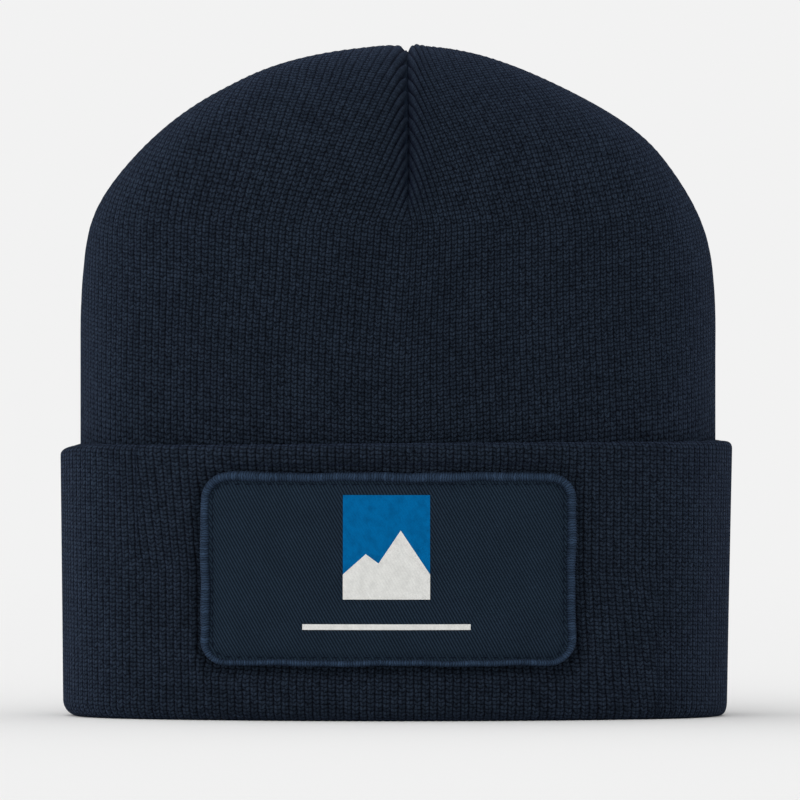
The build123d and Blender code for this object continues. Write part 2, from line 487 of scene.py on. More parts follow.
@dataclass(frozen=True)
class Twill(Cloth):
    """Polyester twill: fine raised diagonals, a little smoother than the knit.

    The threads that cross the diagonals break them up.

    Attributes:
        diagonals: Its raised lines.
        cross: From one crossing thread to the next.
        cross_depth: How deep their gaps are, as a share.
        fibres: Fine change of brightness.
        dye: Slow change of brightness.
    """

    diagonals: Diagonals = Diagonals()
    cross: float = 0.5 * MM
    cross_depth: float = 0.12
    fibres: Mottle = Mottle(0.45 * MM, 2.0, 0.8, 1.2)
    dye: Mottle = Mottle(9 * MM, 2.0, 0.93, 1.07)

    def build(self) -> bpy.types.Material:
        """Makes the material."""
        material, tree = self.start()
        diagonal = self.diagonals.add(tree)
        thread = wave(tree, stitch_axes(tree)[1], 2 * math.pi / self.cross)
        crossing = calculate(tree, "MULTIPLY_ADD", thread, self.cross_depth, 1 - self.cross_depth)
        height = calculate(tree, "MULTIPLY", diagonal, crossing)
        colour = self.tint(tree, height)
        colour = vary(tree, colour, self.fibres.add(tree))
        colour = vary(tree, colour, self.dye.add(tree))
        self.finish(tree, colour, height)
        return material


@dataclass(frozen=True)
class Thread(Cloth):
    """Twisted polyester thread, with a soft gloss along its strands.

    Seen close it has fine fibres; from further off only a silky bloom on its high side.

    Attributes:
        strands: Height of its strands.
        dye: Slow change of brightness.
    """

    strands: Mottle = Mottle(0.3 * MM, 2.0, 0.0, 1.0)
    dye: Mottle = Mottle(3 * MM, 2.0, 0.85, 1.15)

    def build(self) -> bpy.types.Material:
        """Makes the material."""
        material, tree = self.start()
        height = self.strands.add(tree)
        colour = vary(tree, self.tint(tree, height), self.dye.add(tree))
        self.finish(tree, colour, height)
        return material


@dataclass(frozen=True)
class Overlock(Cloth):
    """Embroidery thread laid side by side over an edge: a silky cord of fine loops.

    Read from the piece's stitch map, one unit for a thread.

    Attributes:
        wander: How unevenly the threads lie, in threads.
        ridge_round: How full a thread's crest is; the lower, the fuller.
        painted_foot_shade: Painted shade: the brightness that the roll is painted down to on its
            sides and underside, where the threads turn from the light into the cloth.
        foot_reach: How quickly that painted shade comes on away from the roll's crest.
        strands: Fine change of a thread's height.
        contrast: How much the threads differ in brightness.
        dye: Slow change of brightness.
    """

    wander: Mottle = Mottle(1.6 * MM, 1.0, 0.0, 1.0)
    ridge_round: float = 0.7
    painted_foot_shade: float = 0.3
    foot_reach: float = 1.5
    strands: Mottle = Mottle(0.25 * MM, 2.0, 0.75, 1.0)
    contrast: float = 0.5
    dye: Mottle = Mottle(5 * MM, 2.0, 0.85, 1.15)

    def build(self) -> bpy.types.Material:
        """Makes the material."""
        material, tree = self.start()
        number, around = stitch_axes(tree)
        wobble = calculate(tree, "SUBTRACT", self.wander.add(tree), self.wander.high / 2)
        thread = calculate(tree, "ADD", number, wobble)
        crest = wave(tree, calculate(tree, "FRACT", thread), math.pi)
        ridge = calculate(tree, "POWER", crest, self.ridge_round)
        # Painted shade: the roll is painted darker away from its crest, on its sides and underside,
        # where it turns from the light.
        high_side = calculate(tree, "MAXIMUM", wave(tree, around, 2 * math.pi), 0.0)
        lifted = calculate(tree, "POWER", high_side, self.foot_reach)
        painted_roll_shade = calculate(tree, "MULTIPLY_ADD", lifted, 1 - self.painted_foot_shade, self.painted_foot_shade)
        height = calculate(tree, "MULTIPLY", ridge, self.strands.add(tree))
        chance = add_node(
            tree,
            "ShaderNodeTexWhiteNoise",
            {"W": calculate(tree, "FLOOR", thread)},
            noise_dimensions="1D",
        )
        colour = self.tint(tree, height)
        colour = vary(tree, colour, each_differs(tree, chance.outputs[0], self.contrast))
        colour = vary(tree, colour, self.dye.add(tree))
        colour = vary(tree, colour, painted_roll_shade)
        self.finish(tree, colour, height)
        return material


@dataclass(frozen=True)
class Print(Cloth):
    """Transfer print on twill: flat ink that takes the cloth's diagonals.

    Attributes:
        diagonals: The raised lines of the cloth below.
        ink: Where the ink lies thin and the shade shows.
        grain: Fine change of brightness.
    """

    diagonals: Diagonals = Diagonals()
    ink: Mottle = Mottle(2.5 * MM, 4.0, 0.2, 1.2)
    grain: Mottle = Mottle(0.6 * MM, 2.0, 0.94, 1.06)

    def build(self) -> bpy.types.Material:
        """Makes the material."""
        material, tree = self.start()
        height = self.diagonals.add(tree)
        colour = vary(tree, self.tint(tree, self.ink.add(tree)), self.grain.add(tree))
        self.finish(tree, colour, height)
        return material


# Knitted acrylic yarn: soft and quite matt, with a pale blue bloom where the light grazes it.
NAVY_KNIT = RibKnit("acrylic_rib_knit", "#212a36", "#080a0f", 0.95, 0.07, "#a0bcff", 0.32 * MM)
# The same yarn in the lining: painted a little darker as shade, as less light gets in on the head's
# side, and with less bloom.
SHADED_NAVY_LINING = RibKnit("acrylic_lining_knit_shaded", "#202832", "#080a0f", 0.95, 0.04, "#a0bcff", 0.3 * MM)
# Woven polyester: flatter, bluer and a little lighter than the knit, with fine diagonals.
NAVY_TWILL = Twill("polyester_twill", "#24313f", "#0e1720", 0.8, 0.02, "#a0c8ff", 0.08 * MM)
# Bright polyester thread laid close: the lightest navy here, silky, and painted darker off its roll's
# crest as shade.
EDGE_THREAD = Overlock("embroidery_thread", "#2d3d52", "#17202b", 0.6, 0.06, "#a9c2ff", 0.12 * MM)
# Thin spun thread: dark and nearly matt, so that a seam hardly shows.
SEWING_THREAD = Thread("sewing_thread", "#16202e", "#0b111a", 0.7, 0.02, "#a0bcff", 0.05 * MM)
# Pressed loose fibres: a flat grey with no grain.
BACKING = Thread("non_woven_backing", "#3a3f45", "#26292d", 0.9, 0.02, "#ffffff", 0.05 * MM)
# Woven satin: off-white with a soft shine.
RIBBON = Thread("satin_ribbon", "#d8d6ce", "#c5c2b8", 0.4, 0.1, "#ffffff", 0.03 * MM, 0.4)
# Ink pressed on with heat: an even, flat blue in which the cloth's lines just show.
BLUE_INK = Print("blue_transfer_print", "#00619b", "#005083", 0.6, 0.0, "#ffffff", 0.05 * MM)
# The same ink in white: slightly grey, because the dark cloth shows through.
WHITE_INK = Print("white_transfer_print", "#e0e0dd", "#d0d0cd", 0.6, 0.0, "#ffffff", 0.05 * MM)


class Finish(Enum):
    """The finishes by the record's material slot."""

    RIB_KNIT = "rib_knit"
    LINING_KNIT = "lining_knit"
    DART = "dart_allowance"
    SEWING = "sewing_thread"
    TWILL = "patch_twill"
    BACKING = "patch_backing"
    BORDER = "border_thread"
    BLUE = "print_blue"
    WHITE = "print_white"
    RIBBON = "label_ribbon"


FINISHES: dict[Finish, Cloth] = {
    Finish.RIB_KNIT: NAVY_KNIT,
    Finish.LINING_KNIT: SHADED_NAVY_LINING,
    Finish.DART: SEWING_THREAD,
    Finish.SEWING: SEWING_THREAD,
    Finish.TWILL: NAVY_TWILL,
    Finish.BACKING: BACKING,
    Finish.BORDER: EDGE_THREAD,
    Finish.BLUE: BLUE_INK,
    Finish.WHITE: WHITE_INK,
    Finish.RIBBON: RIBBON,
}


class Wardrobe:
    """Builds each finish once and puts it on pieces."""

    def __init__(self) -> None:
        """Builds nothing yet."""
        self.made: dict[str, bpy.types.Material] = {}

    def material(self, finish: Finish) -> bpy.types.Material:
        """The material of a finish."""
        cloth = FINISHES[finish]
        if cloth.name not in self.made:
            self.made[cloth.name] = cloth.build()
        return self.made[cloth.name]

    def dress(self, piece: Piece, finish: Finish) -> None:
        """Gives a piece one finish all over."""
        piece.data.materials.clear()
        piece.data.materials.append(self.material(finish))


# ---- The hat's form ----------------------------------------------------------------
@dataclass(frozen=True)
class Plan:
    """The hat seen from above: a four-arc oval that every layer runs inside.

    Attributes:
        width: Half width of the cuff's outer face.
        depth: Its half depth.
        side_radius: Radius of its two sides.
        middle_y: Its centre from front to back.
    """

    width: float
    depth: float
    side_radius: float
    middle_y: float

    def quarter(self, inset: float, share: float) -> tuple[float, float, float, float]:
        """One quarter of the oval, an inset inside the cuff and shrunk to a share.

        Args:
            inset: Distance inside the cuff's outer face.
            share: What is left of its size, as where the crown closes in.

        Returns:
            The front arc's radius, the side's radius, the angle where they meet and the
            quarter's length.
        """
        width = (self.width - inset) * share
        depth = (self.depth - inset) * share
        side = (self.side_radius - inset) * share
        front = ((width - side) ** 2 + depth**2 - side**2) / (2 * (depth - side))
        meet = math.asin((width - side) / (front - side))
        return front, side, meet, front * meet + side * (math.pi / 2 - meet)

    def place(
        self, inset: float, share: float, run: Array
    ) -> tuple[Array, Array, Array]:
        """Points along a quarter, from the front's middle to the side.

        Args:
            inset: Distance inside the cuff's outer face.
            share: What is left of the oval's size.
            run: Distances along the quarter.

        Returns:
            X, the distance in front of the middle, and the angle that the wall faces, from
            straight ahead.
        """
        front, side, meet, _ = self.quarter(inset, share)
        width = (self.width - inset) * share
        depth = (self.depth - inset) * share
        facing = np.where(run < front * meet, run / front, meet + (run - front * meet) / side)
        on_front = run < front * meet
        x = np.where(on_front, front * np.sin(facing), width - side + side * np.sin(facing))
        ahead = np.where(on_front, front * np.cos(facing) - (front - depth), side * np.cos(facing))
        return x, ahead, facing


@dataclass(frozen=True)
class Form:
    """Sizes that the frame gives, and the crown's outline.

    Attributes:
        plan: The hat seen from above.
        knit: Thickness of one layer.
        shoulder: Height where the crown starts to close in.
        power: How square the crown's outline is.
        shell_inset: From the cuff's face in to the outer shell.
        lining_inset: From the cuff's face in to the lining's outer face.
        top: Height of the crown.
        foot: Height of the shell's and the lining's lower edges.
    """

    plan: Plan
    knit: float
    shoulder: float
    power: float
    shell_inset: float
    lining_inset: float
    top: float
    foot: float

    @staticmethod
    def from_frame() -> "Form":
        """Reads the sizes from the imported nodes' boxes."""
        cuff_low, cuff_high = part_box("cuff_outer")
        shell_low, shell_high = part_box("outer_shell")
        lining_low, lining_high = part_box("lining_shell")
        half_width = (cuff_high[0] - cuff_low[0]) / 2
        plan = Plan(
            width=half_width,
            depth=(cuff_high[1] - cuff_low[1]) / 2,
            side_radius=SIDE_RADIUS,
            middle_y=(cuff_high[1] + cuff_low[1]) / 2,
        )
        return Form(
            plan=plan,
            knit=KNIT,
            shoulder=SHOULDER,
            power=CROWN_POWER,
            shell_inset=half_width - (shell_high[0] - shell_low[0]) / 2,
            lining_inset=half_width - (lining_high[0] - lining_low[0]) / 2,
            top=shell_high[2],
            foot=shell_low[2],
        )


@dataclass(frozen=True)
class Gauge:
    """How many wales a quarter of the hat has, and how they are stretched.

    Attributes:
        wales: Wales from the middle of the front to the side.
        ease: How much closer they lie at the front than on average, as a share.
    """

    wales: int
    ease: float

    def wale(self, share: Array) -> Array:
        """The wale at each share of the way from the front's middle to the side."""
        return self.wales * share * (1 + self.ease * (1 - share))

    def share(self, wale: Array) -> Array:
        """The share of the way at which each wale lies."""
        way = np.linspace(0, 1, 2000)
        return np.interp(wale, self.wale(way), way)


def rib(wale: Array) -> Array:
    """How high the rib stands at a place in fabric terms: 0 in a groove, 1 on a crest."""
    return np.abs(np.sin(np.pi * wale)) ** RIB_ROUND


def make_piece(
    name: str,
    points: Array,
    faces: Array,
    maps: Array,
    weld: float,
    gape: Array | None = None,
) -> Piece:
    """Makes a closed soft piece from its grid.

    Args:
        name: The piece's name.
        points: Corner places, one row each.
        faces: Four corner numbers for each face.
        maps: The stitch map at each face's corners, in the faces' order.
        weld: Corners nearer than this are one.
        gape: How far the wales are pulled apart at each point, from 0 to 1, by which the
        material deepens the gaps between them and paints shade into them.

    Returns:
        The piece, with its faces outward and shaded smooth.
    """
    mesh = bpy.data.meshes.new(name)
    mesh.from_pydata(points.tolist(), [], faces.tolist())
    layer = mesh.uv_layers.new(name=STITCH_MAP)
    layer.data.foreach_set("uv", maps.astype(np.float32).ravel())
    if gape is not None:
        spread = mesh.attributes.new(GAPE, "FLOAT", "POINT")
        spread.data.foreach_set("value", gape.astype(np.float32))
    built = bmesh.new()
    built.from_mesh(mesh)
    bmesh.ops.remove_doubles(built, verts=built.verts, dist=weld)
    bmesh.ops.dissolve_degenerate(built, edges=built.edges, dist=weld)
    bmesh.ops.recalc_face_normals(built, faces=built.faces)
    built.to_mesh(mesh)
    built.free()
    mesh.shade_smooth()
    mesh.set_sharp_from_angle(angle=SHARP_ANGLE)
    piece = bpy.data.objects.new(name, mesh)
    bpy.context.scene.collection.objects.link(piece)
    return piece


def grid_faces(rows: int, columns: int, offset: int, closed: bool = False) -> Array:
    """Face corners of a grid of points numbered row by row.

    Args:
        rows: Rows of points.
        columns: Points in a row.
        offset: Number of the first point.
        closed: Whether the last row is joined to the first.

    Returns:
        Four corner numbers for each face.
    """
    row = np.arange(rows if closed else rows - 1)[:, None]
    column = np.arange(columns - 1)[None, :]
    low = row * columns + column
    high = ((row + 1) % rows) * columns + column
    quads = np.stack([low, low + 1, high + 1, high], axis=-1)
    return quads.reshape(-1, 4) + offset


# ---- Crown -------------------------------------------------------------------------
class Side(Enum):
    """Which side of a knit layer shows."""

    OUTSIDE = 1
    INSIDE = -1


@dataclass(frozen=True)
class Flank:
    """One side of the crown: its wales, and how it hangs, as worn knit does.

    Attributes:
        gauge: Wales of a quarter.
        lean_start: Height where its wales start to lean to the dart.
        lean_slope: How steeply they lean in the end.
        puff: How far the fabric stands out beside the front or back dart.
        full: How much fuller than the plain form it hangs, as a share, by height.
        top_change: What its top adds to the sideways size, as a share.
        top_start: Height where that starts.
        top_power: How late it comes on.
    """

    gauge: Gauge
    lean_start: float
    lean_slope: float
    puff: Hump
    full: Hump
    top_change: float
    top_start: float
    top_power: float


RIGHT_FLANK = Flank(
    gauge=Gauge(60, 0.0),
    lean_start=85 * MM,
    lean_slope=0.15,
    puff=Hump(0.75 * MM, 3.4 * MM, 3.0 * MM),
    full=Hump(0.015, 156 * MM, 17 * MM),
    top_change=-0.16,
    top_start=177 * MM,
    top_power=1.5,
)
LEFT_FLANK = Flank(
    gauge=Gauge(56, 0.0714),
    lean_start=125 * MM,
    lean_slope=0.13,
    puff=Hump(0.35 * MM, 7.0 * MM, 5.0 * MM),
    full=Hump(0.017, 161 * MM, 15 * MM),
    top_change=0.05,
    top_start=200 * MM,
    top_power=1.0,
)
FLANKS = {1: RIGHT_FLANK, -1: LEFT_FLANK}


@dataclass
class CrownLayer:
    """One closed-topped layer of rib knit, with four darts.

    Attributes:
        name: Node that the layer stands for.
        form: The hat's sizes.
        inset: From the cuff's face in to the layer's outer face.
        shows: The side that is seen, which has the ribs.
        fine: Rows on the wall and on the dome of the side that shows.
        coarse: Rows on those of the hidden side.
        run_steps: Places at which a row's wales are worked out.
        spare_wales: Wales beyond a quarter that the darts can draw in.
        splits: Points across a wale.
        course: Height of a stitch.
        rib_depth: Height of the ribs.
        dart_length: Height of the front and back darts.
        dart_take: Length of fabric that such a dart takes from each side of it at the top.
        dart_power: How late the darts take most of it.
        dart_spread: How far from the dart the wales still lean.
        lean_ramp: Height over which a side's own lean comes on.
        lean_near: How far from the dart that lean has come on.
        lean_far: How far from the dart it has faded.
        dart_depth: Depth of the valley along a front or back dart at the top.
        dart_width: Half width of that valley.
        gather_by: Share of the dart's height where its ribs are deepest; open_by: the same
            for the valley and the gap.
        gather_top: How much of the deeper ribs is lost at the very top; open_top: how much
            of the valley and the gap; top_power: how near to the top.
        slot_depth: Depth of the gap between the wale ends, in the valley.
        slot_width: Half width of that gap.
        slot_notch: How much shallower the gap is on a crest than in a groove.
        join_width: Half width of the join itself, where both sides are level.
        join_level: Height of the ribs there.
        dart_reach: How far from the dart the ribs stand out more.
        dart_ribs: How many times deeper they are there.
        side_depth: Depth of the valley along a side dart.
        side_rise: Height above the shoulder where it has that depth.
        lean: How far the crown's top leans to the right.
        dart_shift: How far the front dart lies to the right of the middle.
        shift_start: How far under the shoulder that starts.
        shift_end: How far under the top it is complete.
        full_end: Height where the sides' own shape is complete.
        gape_below: How far under a dart's foot the wales start to part; gape_above: how far
            over it they have; gape_join: how much more they do at the join.
        face_power: How late the dome turns to face up.
        course_reach: How far from the dart the courses dip; course_dip: how steeply;
            dip_end: share of the dart's height, from the top, where that is complete.
        course_tilt: How steeply they climb to the sides, from tilt_start up to tilt_end.
        weld: Corners nearer than this are one.
    """

    name: str
    form: Form
    inset: float
    shows: Side
    fine: tuple[int, int] = (12, 56)
    coarse: tuple[int, int] = (6, 12)
    run_steps: int = 500
    spare_wales: int = 4
    splits: int = 4
    course: float = 1.33 * MM
    rib_depth: float = 0.14 * MM
    dart_length: float = 57 * MM
    dart_take: float = 27 * MM
    dart_power: float = 1.15
    dart_spread: float = 48 * MM
    lean_ramp: float = 32 * MM
    lean_near: float = 30 * MM
    lean_far: float = 120 * MM
    dart_depth: float = 1.5 * MM
    dart_width: float = 1.9 * MM
    gather_by: float = 0.2
    open_by: float = 0.3
    gather_top: float = 0.75
    open_top: float = 0.4
    top_power: int = 6
    slot_depth: float = 2.7 * MM
    slot_width: float = 1.25 * MM
    slot_notch: float = 0.8
    join_width: float = 0.3 * MM
    join_level: float = 0.5
    dart_reach: float = 7 * MM
    dart_ribs: float = 8.0
    side_depth: float = 0.7 * MM
    side_rise: float = 30 * MM
    lean: float = -2.2 * MM
    dart_shift: float = 5.2 * MM
    shift_start: float = 20 * MM
    shift_end: float = 25 * MM
    full_end: float = 212 * MM
    gape_below: float = 2 * MM
    gape_above: float = 12 * MM
    gape_join: float = 0.6
    face_power: float = 1.5
    course_reach: float = 12 * MM
    course_dip: float = 0.4
    course_tilt: float = 0.13
    tilt_start: float = 40 * MM
    tilt_end: float = 110 * MM
    dip_end: float = 0.45
    weld: float = 0.02 * MM

    def levels(self, upright: int, dome: int) -> list[tuple[float, float]]:
        """Heights of the rows and how far the crown has closed in at each.

        Args:
            upright: Rows on the upright wall.
            dome: Rows on the dome.

        Returns:
            Each row's height and the share of the oval's size that is left there.
        """
        rise = self.form.top - self.form.shoulder - (self.inset - self.form.shell_inset)
        span = self.form.shoulder - self.form.foot
        rows = [(self.form.foot + span * step / upright, 1.0) for step in range(upright)]
        for step in range(dome + 1):
            angle = math.pi / 2 * step / dome
            height = self.form.shoulder + rise * math.sin(angle) ** (2 / self.form.power)
            rows.append((height, max(math.cos(angle), LEAST)))
        return rows

    def columns(self, gauge: Gauge) -> int:
        """Points in a row of a quarter, with a few wales over for those drawn in."""
        return (gauge.wales + self.spare_wales) * self.splits + 1

    def risen(self, height: float) -> float:
        """How far up the front and back darts a height is, from 0 to 1."""
        start = self.form.top - self.dart_length
        return float(np.clip((height - start) / self.dart_length, 0, 1))

    def drawn_in(self, run: Array, height: float, across: int) -> Array:
        """Length of fabric that the darts have drawn towards them from each place.

        Args:
            run: Distances along the quarter.
            height: The row's height.
            across: 1 for the right side, -1 for the left.

        Returns:
            How much fabric lies between the place and where it would be without darts.
        """
        flank = FLANKS[across]
        taken = self.dart_take * self.risen(height) ** self.dart_power
        climb = max(height - flank.lean_start, 0.0)
        ramp = self.lean_ramp
        climbed = climb**2 / (2 * ramp) if climb < ramp else climb - ramp / 2
        away = (1 - np.exp(-run / self.lean_near)) * np.exp(-run / self.lean_far)
        return taken * np.exp(-run / self.dart_spread) + flank.lean_slope * climbed * away

    def row(
        self, height: float, share: float, inset: float, relief: float, up: float, across: int
    ) -> tuple[Array, Array, Array]:
        """One quarter of a row, from the front's middle to the side.

        Args:
            height: The row's height.
            share: How far the crown has closed in.
            inset: From the cuff's face in to this face of the layer.
            relief: Outward size of the ribs, negative towards the head.
            up: How much the wall faces up here, from 0 to 1.
            across: 1 for the right side, -1 for the left.

        Returns:
            Places as if in the front right quarter, how far each is along the row, and the
            wale at each.
        """
        plan = self.form.plan
        flank = FLANKS[across]
        length = plan.quarter(inset, share)[3]
        full = plan.quarter(inset, 1.0)[3]
        run_grid = np.linspace(0, length, self.run_steps)
        fabric = run_grid + self.drawn_in(run_grid, height, across)
        wale_grid = flank.gauge.wale(fabric / full)
        wale = np.arange(self.columns(flank.gauge)) / self.splits
        wale = np.clip(wale, wale_grid[0], wale_grid[-1])
        run = np.interp(wale, wale_grid, run_grid)
        x, ahead, facing = plan.place(inset, share, run)

        risen = self.risen(height)
        shoulder = self.form.shoulder
        near_top = up**self.top_power
        gathered = float(smooth_step(risen, 0.0, self.gather_by)) * (1 - self.gather_top * near_top)
        opened = float(smooth_step(risen, 0.0, self.open_by)) * (1 - self.open_top * near_top)
        closing = float(smooth_step(height, shoulder, shoulder + self.side_rise))
        joined = bell(run, self.join_width)
        ribs = rib(wale) * (1 - joined) + self.join_level * joined
        out = relief * (1 + self.dart_ribs * gathered * bell(run, self.dart_reach)) * (ribs - 1)
        out = out - self.dart_depth * opened * bell(run, self.dart_width)
        notched = 1 - self.slot_notch * ribs
        out = out - self.slot_depth * opened * bell(run, self.slot_width) * notched
        out = out + flank.puff.at(run) * opened * (1 - joined)
        out = out - self.side_depth * closing * bell(length - run, self.dart_width)
        level = math.sqrt(max(1 - up * up, 0.0))
        places = np.stack(
            [
                x + out * np.sin(facing) * level,
                ahead + out * np.cos(facing) * level,
                np.full_like(x, height) + out * up,
            ],
            axis=-1,
        )
        return places, run, wale

    def fullness(self, height: Array, across: int) -> Array:
        """How much fuller than the plain form each side of the crown hangs.

        Args:
            height: Heights to ask about.
            across: 1 for the right side, -1 for the left.

        Returns:
            What the sideways size is multiplied by.
        """
        flank = FLANKS[across]
        top = smooth_step(height, flank.top_start, self.full_end) ** flank.top_power
        return 1 + flank.full.at(height) + flank.top_change * top

    def bend(self, places: Array) -> Array:
        """Leans the crown a little and puts its front dart off the middle, as worn knit is."""
        moved = places.copy()
        low, top = self.form.shoulder, self.form.top
        high = smooth_step(places[:, 2], low, top)
        half = np.abs(places[:, 0]).max()
        inner = 1 - np.clip(np.abs(places[:, 0]) / half, 0, 1) ** 2
        started = smooth_step(places[:, 2], low - self.shift_start, top - self.shift_end)
        moved[:, 0] += self.lean * high + self.dart_shift * started * inner
        return moved

    def build(self) -> Piece:
        """Makes the layer's skin."""
        fine = self.levels(*self.fine)
        coarse = self.levels(*self.coarse)
        outer_rows, inner_rows = (fine, coarse) if self.shows is Side.OUTSIDE else (coarse, fine)
        outer_relief = self.rib_depth if self.shows is Side.OUTSIDE else 0.0
        inner_relief = 0.0 if self.shows is Side.OUTSIDE else -self.rib_depth
        skins = [
            (outer_rows, self.inset, outer_relief, 0.0),
            (inner_rows, self.inset + self.form.knit, inner_relief, self.form.knit),
        ]
        points, faces, maps = [], [], []
        count = 0
        for across, flank in FLANKS.items():
            columns = self.columns(flank.gauge)
            for front in (1, -1):
                feet = []
                for rows, inset, relief, drop in skins:
                    grid, uv = self.quarter_grid(rows, inset, relief, drop, across)
                    grid[..., 0] *= across * self.fullness(grid[..., 2], across)
                    grid[..., 1] = self.form.plan.middle_y - front * grid[..., 1]
                    uv[..., 0] *= across
                    feet.append((count, uv[0]))
                    made = grid_faces(len(rows), columns, count)
                    points.append(grid.reshape(-1, 3))
                    faces.append(made)
                    maps.append(uv.reshape(-1, 2)[made - count])
                    count += len(rows) * columns
                rim, rim_map = self.foot_rim(feet, columns)
                faces.append(rim)
                maps.append(rim_map)
        every = self.bend(np.concatenate(points))
        return make_piece(
            f"{self.name}_knit",
            every,
            np.concatenate(faces),
            np.concatenate([part.reshape(-1, 2) for part in maps]),
            self.weld,
            self.gape(every),
        )

    def gape(self, places: Array) -> Array:
        """How far the darts pull the wales apart at each place, from 0 to 1; the knit's material
        paints shade into the opened gaps by it.
        """
        start = self.form.top - self.dart_length
        risen = smooth_step(places[:, 2], start - self.gape_below, start + self.gape_above)
        beside = places[:, 0] - self.lean - self.dart_shift
        return risen * (bell(beside, self.dart_reach) + self.gape_join * bell(beside, self.slot_width))

    def quarter_grid(
        self, rows: list[tuple[float, float]], inset: float, relief: float, drop: float, across: int
    ) -> tuple[Array, Array]:
        """All rows of one quarter of one face.

        Args:
            rows: Heights and shares, from the foot up.
            inset: From the cuff's face in to this face of the layer.
            relief: Outward size of the ribs.
            drop: How far the face lies under the layer's outer face at the top.
            across: 1 for the right side, -1 for the left.

        Returns:
            Places and stitch maps, row by row.
        """
        places, maps = [], []
        climbed = 0.0
        last = None
        top = self.form.top
        rise = top - self.form.shoulder
        reach = self.course_reach
        for height, share in rows:
            risen = max(height - self.form.shoulder, 0.0) / rise
            lowered = height - drop * risen
            angle = math.acos(min(share, 1.0))
            up = math.sin(angle) ** self.face_power
            spots, run, wale = self.row(lowered, share, inset, relief, up, across)
            depth_now = (self.form.plan.depth - inset) * share
            if last is not None:
                climbed += math.hypot(lowered - last[0], depth_now - last[1])
            last = (lowered, depth_now)
            leaning = smooth_step(
                lowered, top - self.dart_length, top - self.dip_end * self.dart_length
            )
            tilt = self.course_dip * leaning * reach * (1 - np.exp(-run / reach))
            tilted = float(smooth_step(lowered, self.tilt_start, self.tilt_end))
            tilt = tilt + self.course_tilt * run * tilted
            courses = (climbed - tilt) / self.course
            places.append(spots)
            maps.append(np.stack([wale, np.broadcast_to(courses, wale.shape)], axis=-1))
        return np.array(places), np.array(maps)

    def foot_rim(
        self, feet: list[tuple[int, Array]], columns: int
    ) -> tuple[Array, Array]:
        """Faces that close the layer's lower edge.

        Args:
            feet: First point's number and the stitch map of the outer and inner lowest rows.
            columns: Points in a row.

        Returns:
            The faces and their stitch maps.
        """
        (outer, outer_map), (inner, inner_map) = feet
        step = np.arange(columns - 1)
        rim = np.stack([outer + step, outer + step + 1, inner + step + 1, inner + step], axis=-1)
        rim_map = np.stack(
            [outer_map[step], outer_map[step + 1], inner_map[step + 1], inner_map[step]], axis=1
        )
        return rim, rim_map


# ---- Cuff --------------------------------------------------------------------------
@dataclass(frozen=True)
class Row:
    """One row of points of an outline that is carried round the hat.

    Attributes:
        inset: Distance inside the cuff's face.
        height: Its height.
        outward: How much the face looks outward there.
        upward: How much it looks up.
        ribbed: How much of the ribs it has.
    """

    inset: float
    height: float
    outward: float
    upward: float
    ribbed: float


def line_rows(
    inset: float, low: float, high: float, shares: list[float], outward: float, ribbed: float
) -> list[Row]:
    """Rows on an upright stretch of an outline.

    Args:
        inset: Distance inside the cuff's face.
        low: Height where the stretch starts.
        high: Height where it ends.
        shares: Where its rows are, from 0 at its start to 1 at its end.
        outward: 1 if it looks away from the head, -1 if towards it.
        ribbed: How much of the ribs it has.

    Returns:
        The rows.
    """
    return [Row(inset, low + (high - low) * share, outward, 0.0, ribbed) for share in shares]


def arc_rows(
    inset: float, height: float, radius: float, angles: tuple[float, float], steps: int
) -> list[Row]:
    """Rows on a round stretch of an outline, all ribbed.

    Args:
        inset: Distance of its centre inside the cuff's face.
        height: Its centre's height.
        radius: Its radius.
        angles: The first and the last way that it looks, from straight outward, upward.
        steps: From its first row to its last.

    Returns:
        The rows.
    """
    first, last = angles
    made = []
    for step in range(steps + 1):
        angle = first + (last - first) * step / steps
        outward, upward = math.cos(angle), math.sin(angle)
        made.append(Row(inset - radius * outward, height + radius * upward, outward, upward, 1.0))
    return made


@dataclass(frozen=True)
class SlowWave:
    """One wave of the cuff's slow unevenness.

    Attributes:
        size: Its height, as a share of the whole.
        count: How many times it goes up and down round the hat.
        start: Its phase at the front.
        twist: How much the phase changes with height, for each metre.
    """

    size: float
    count: int
    start: float
    twist: float


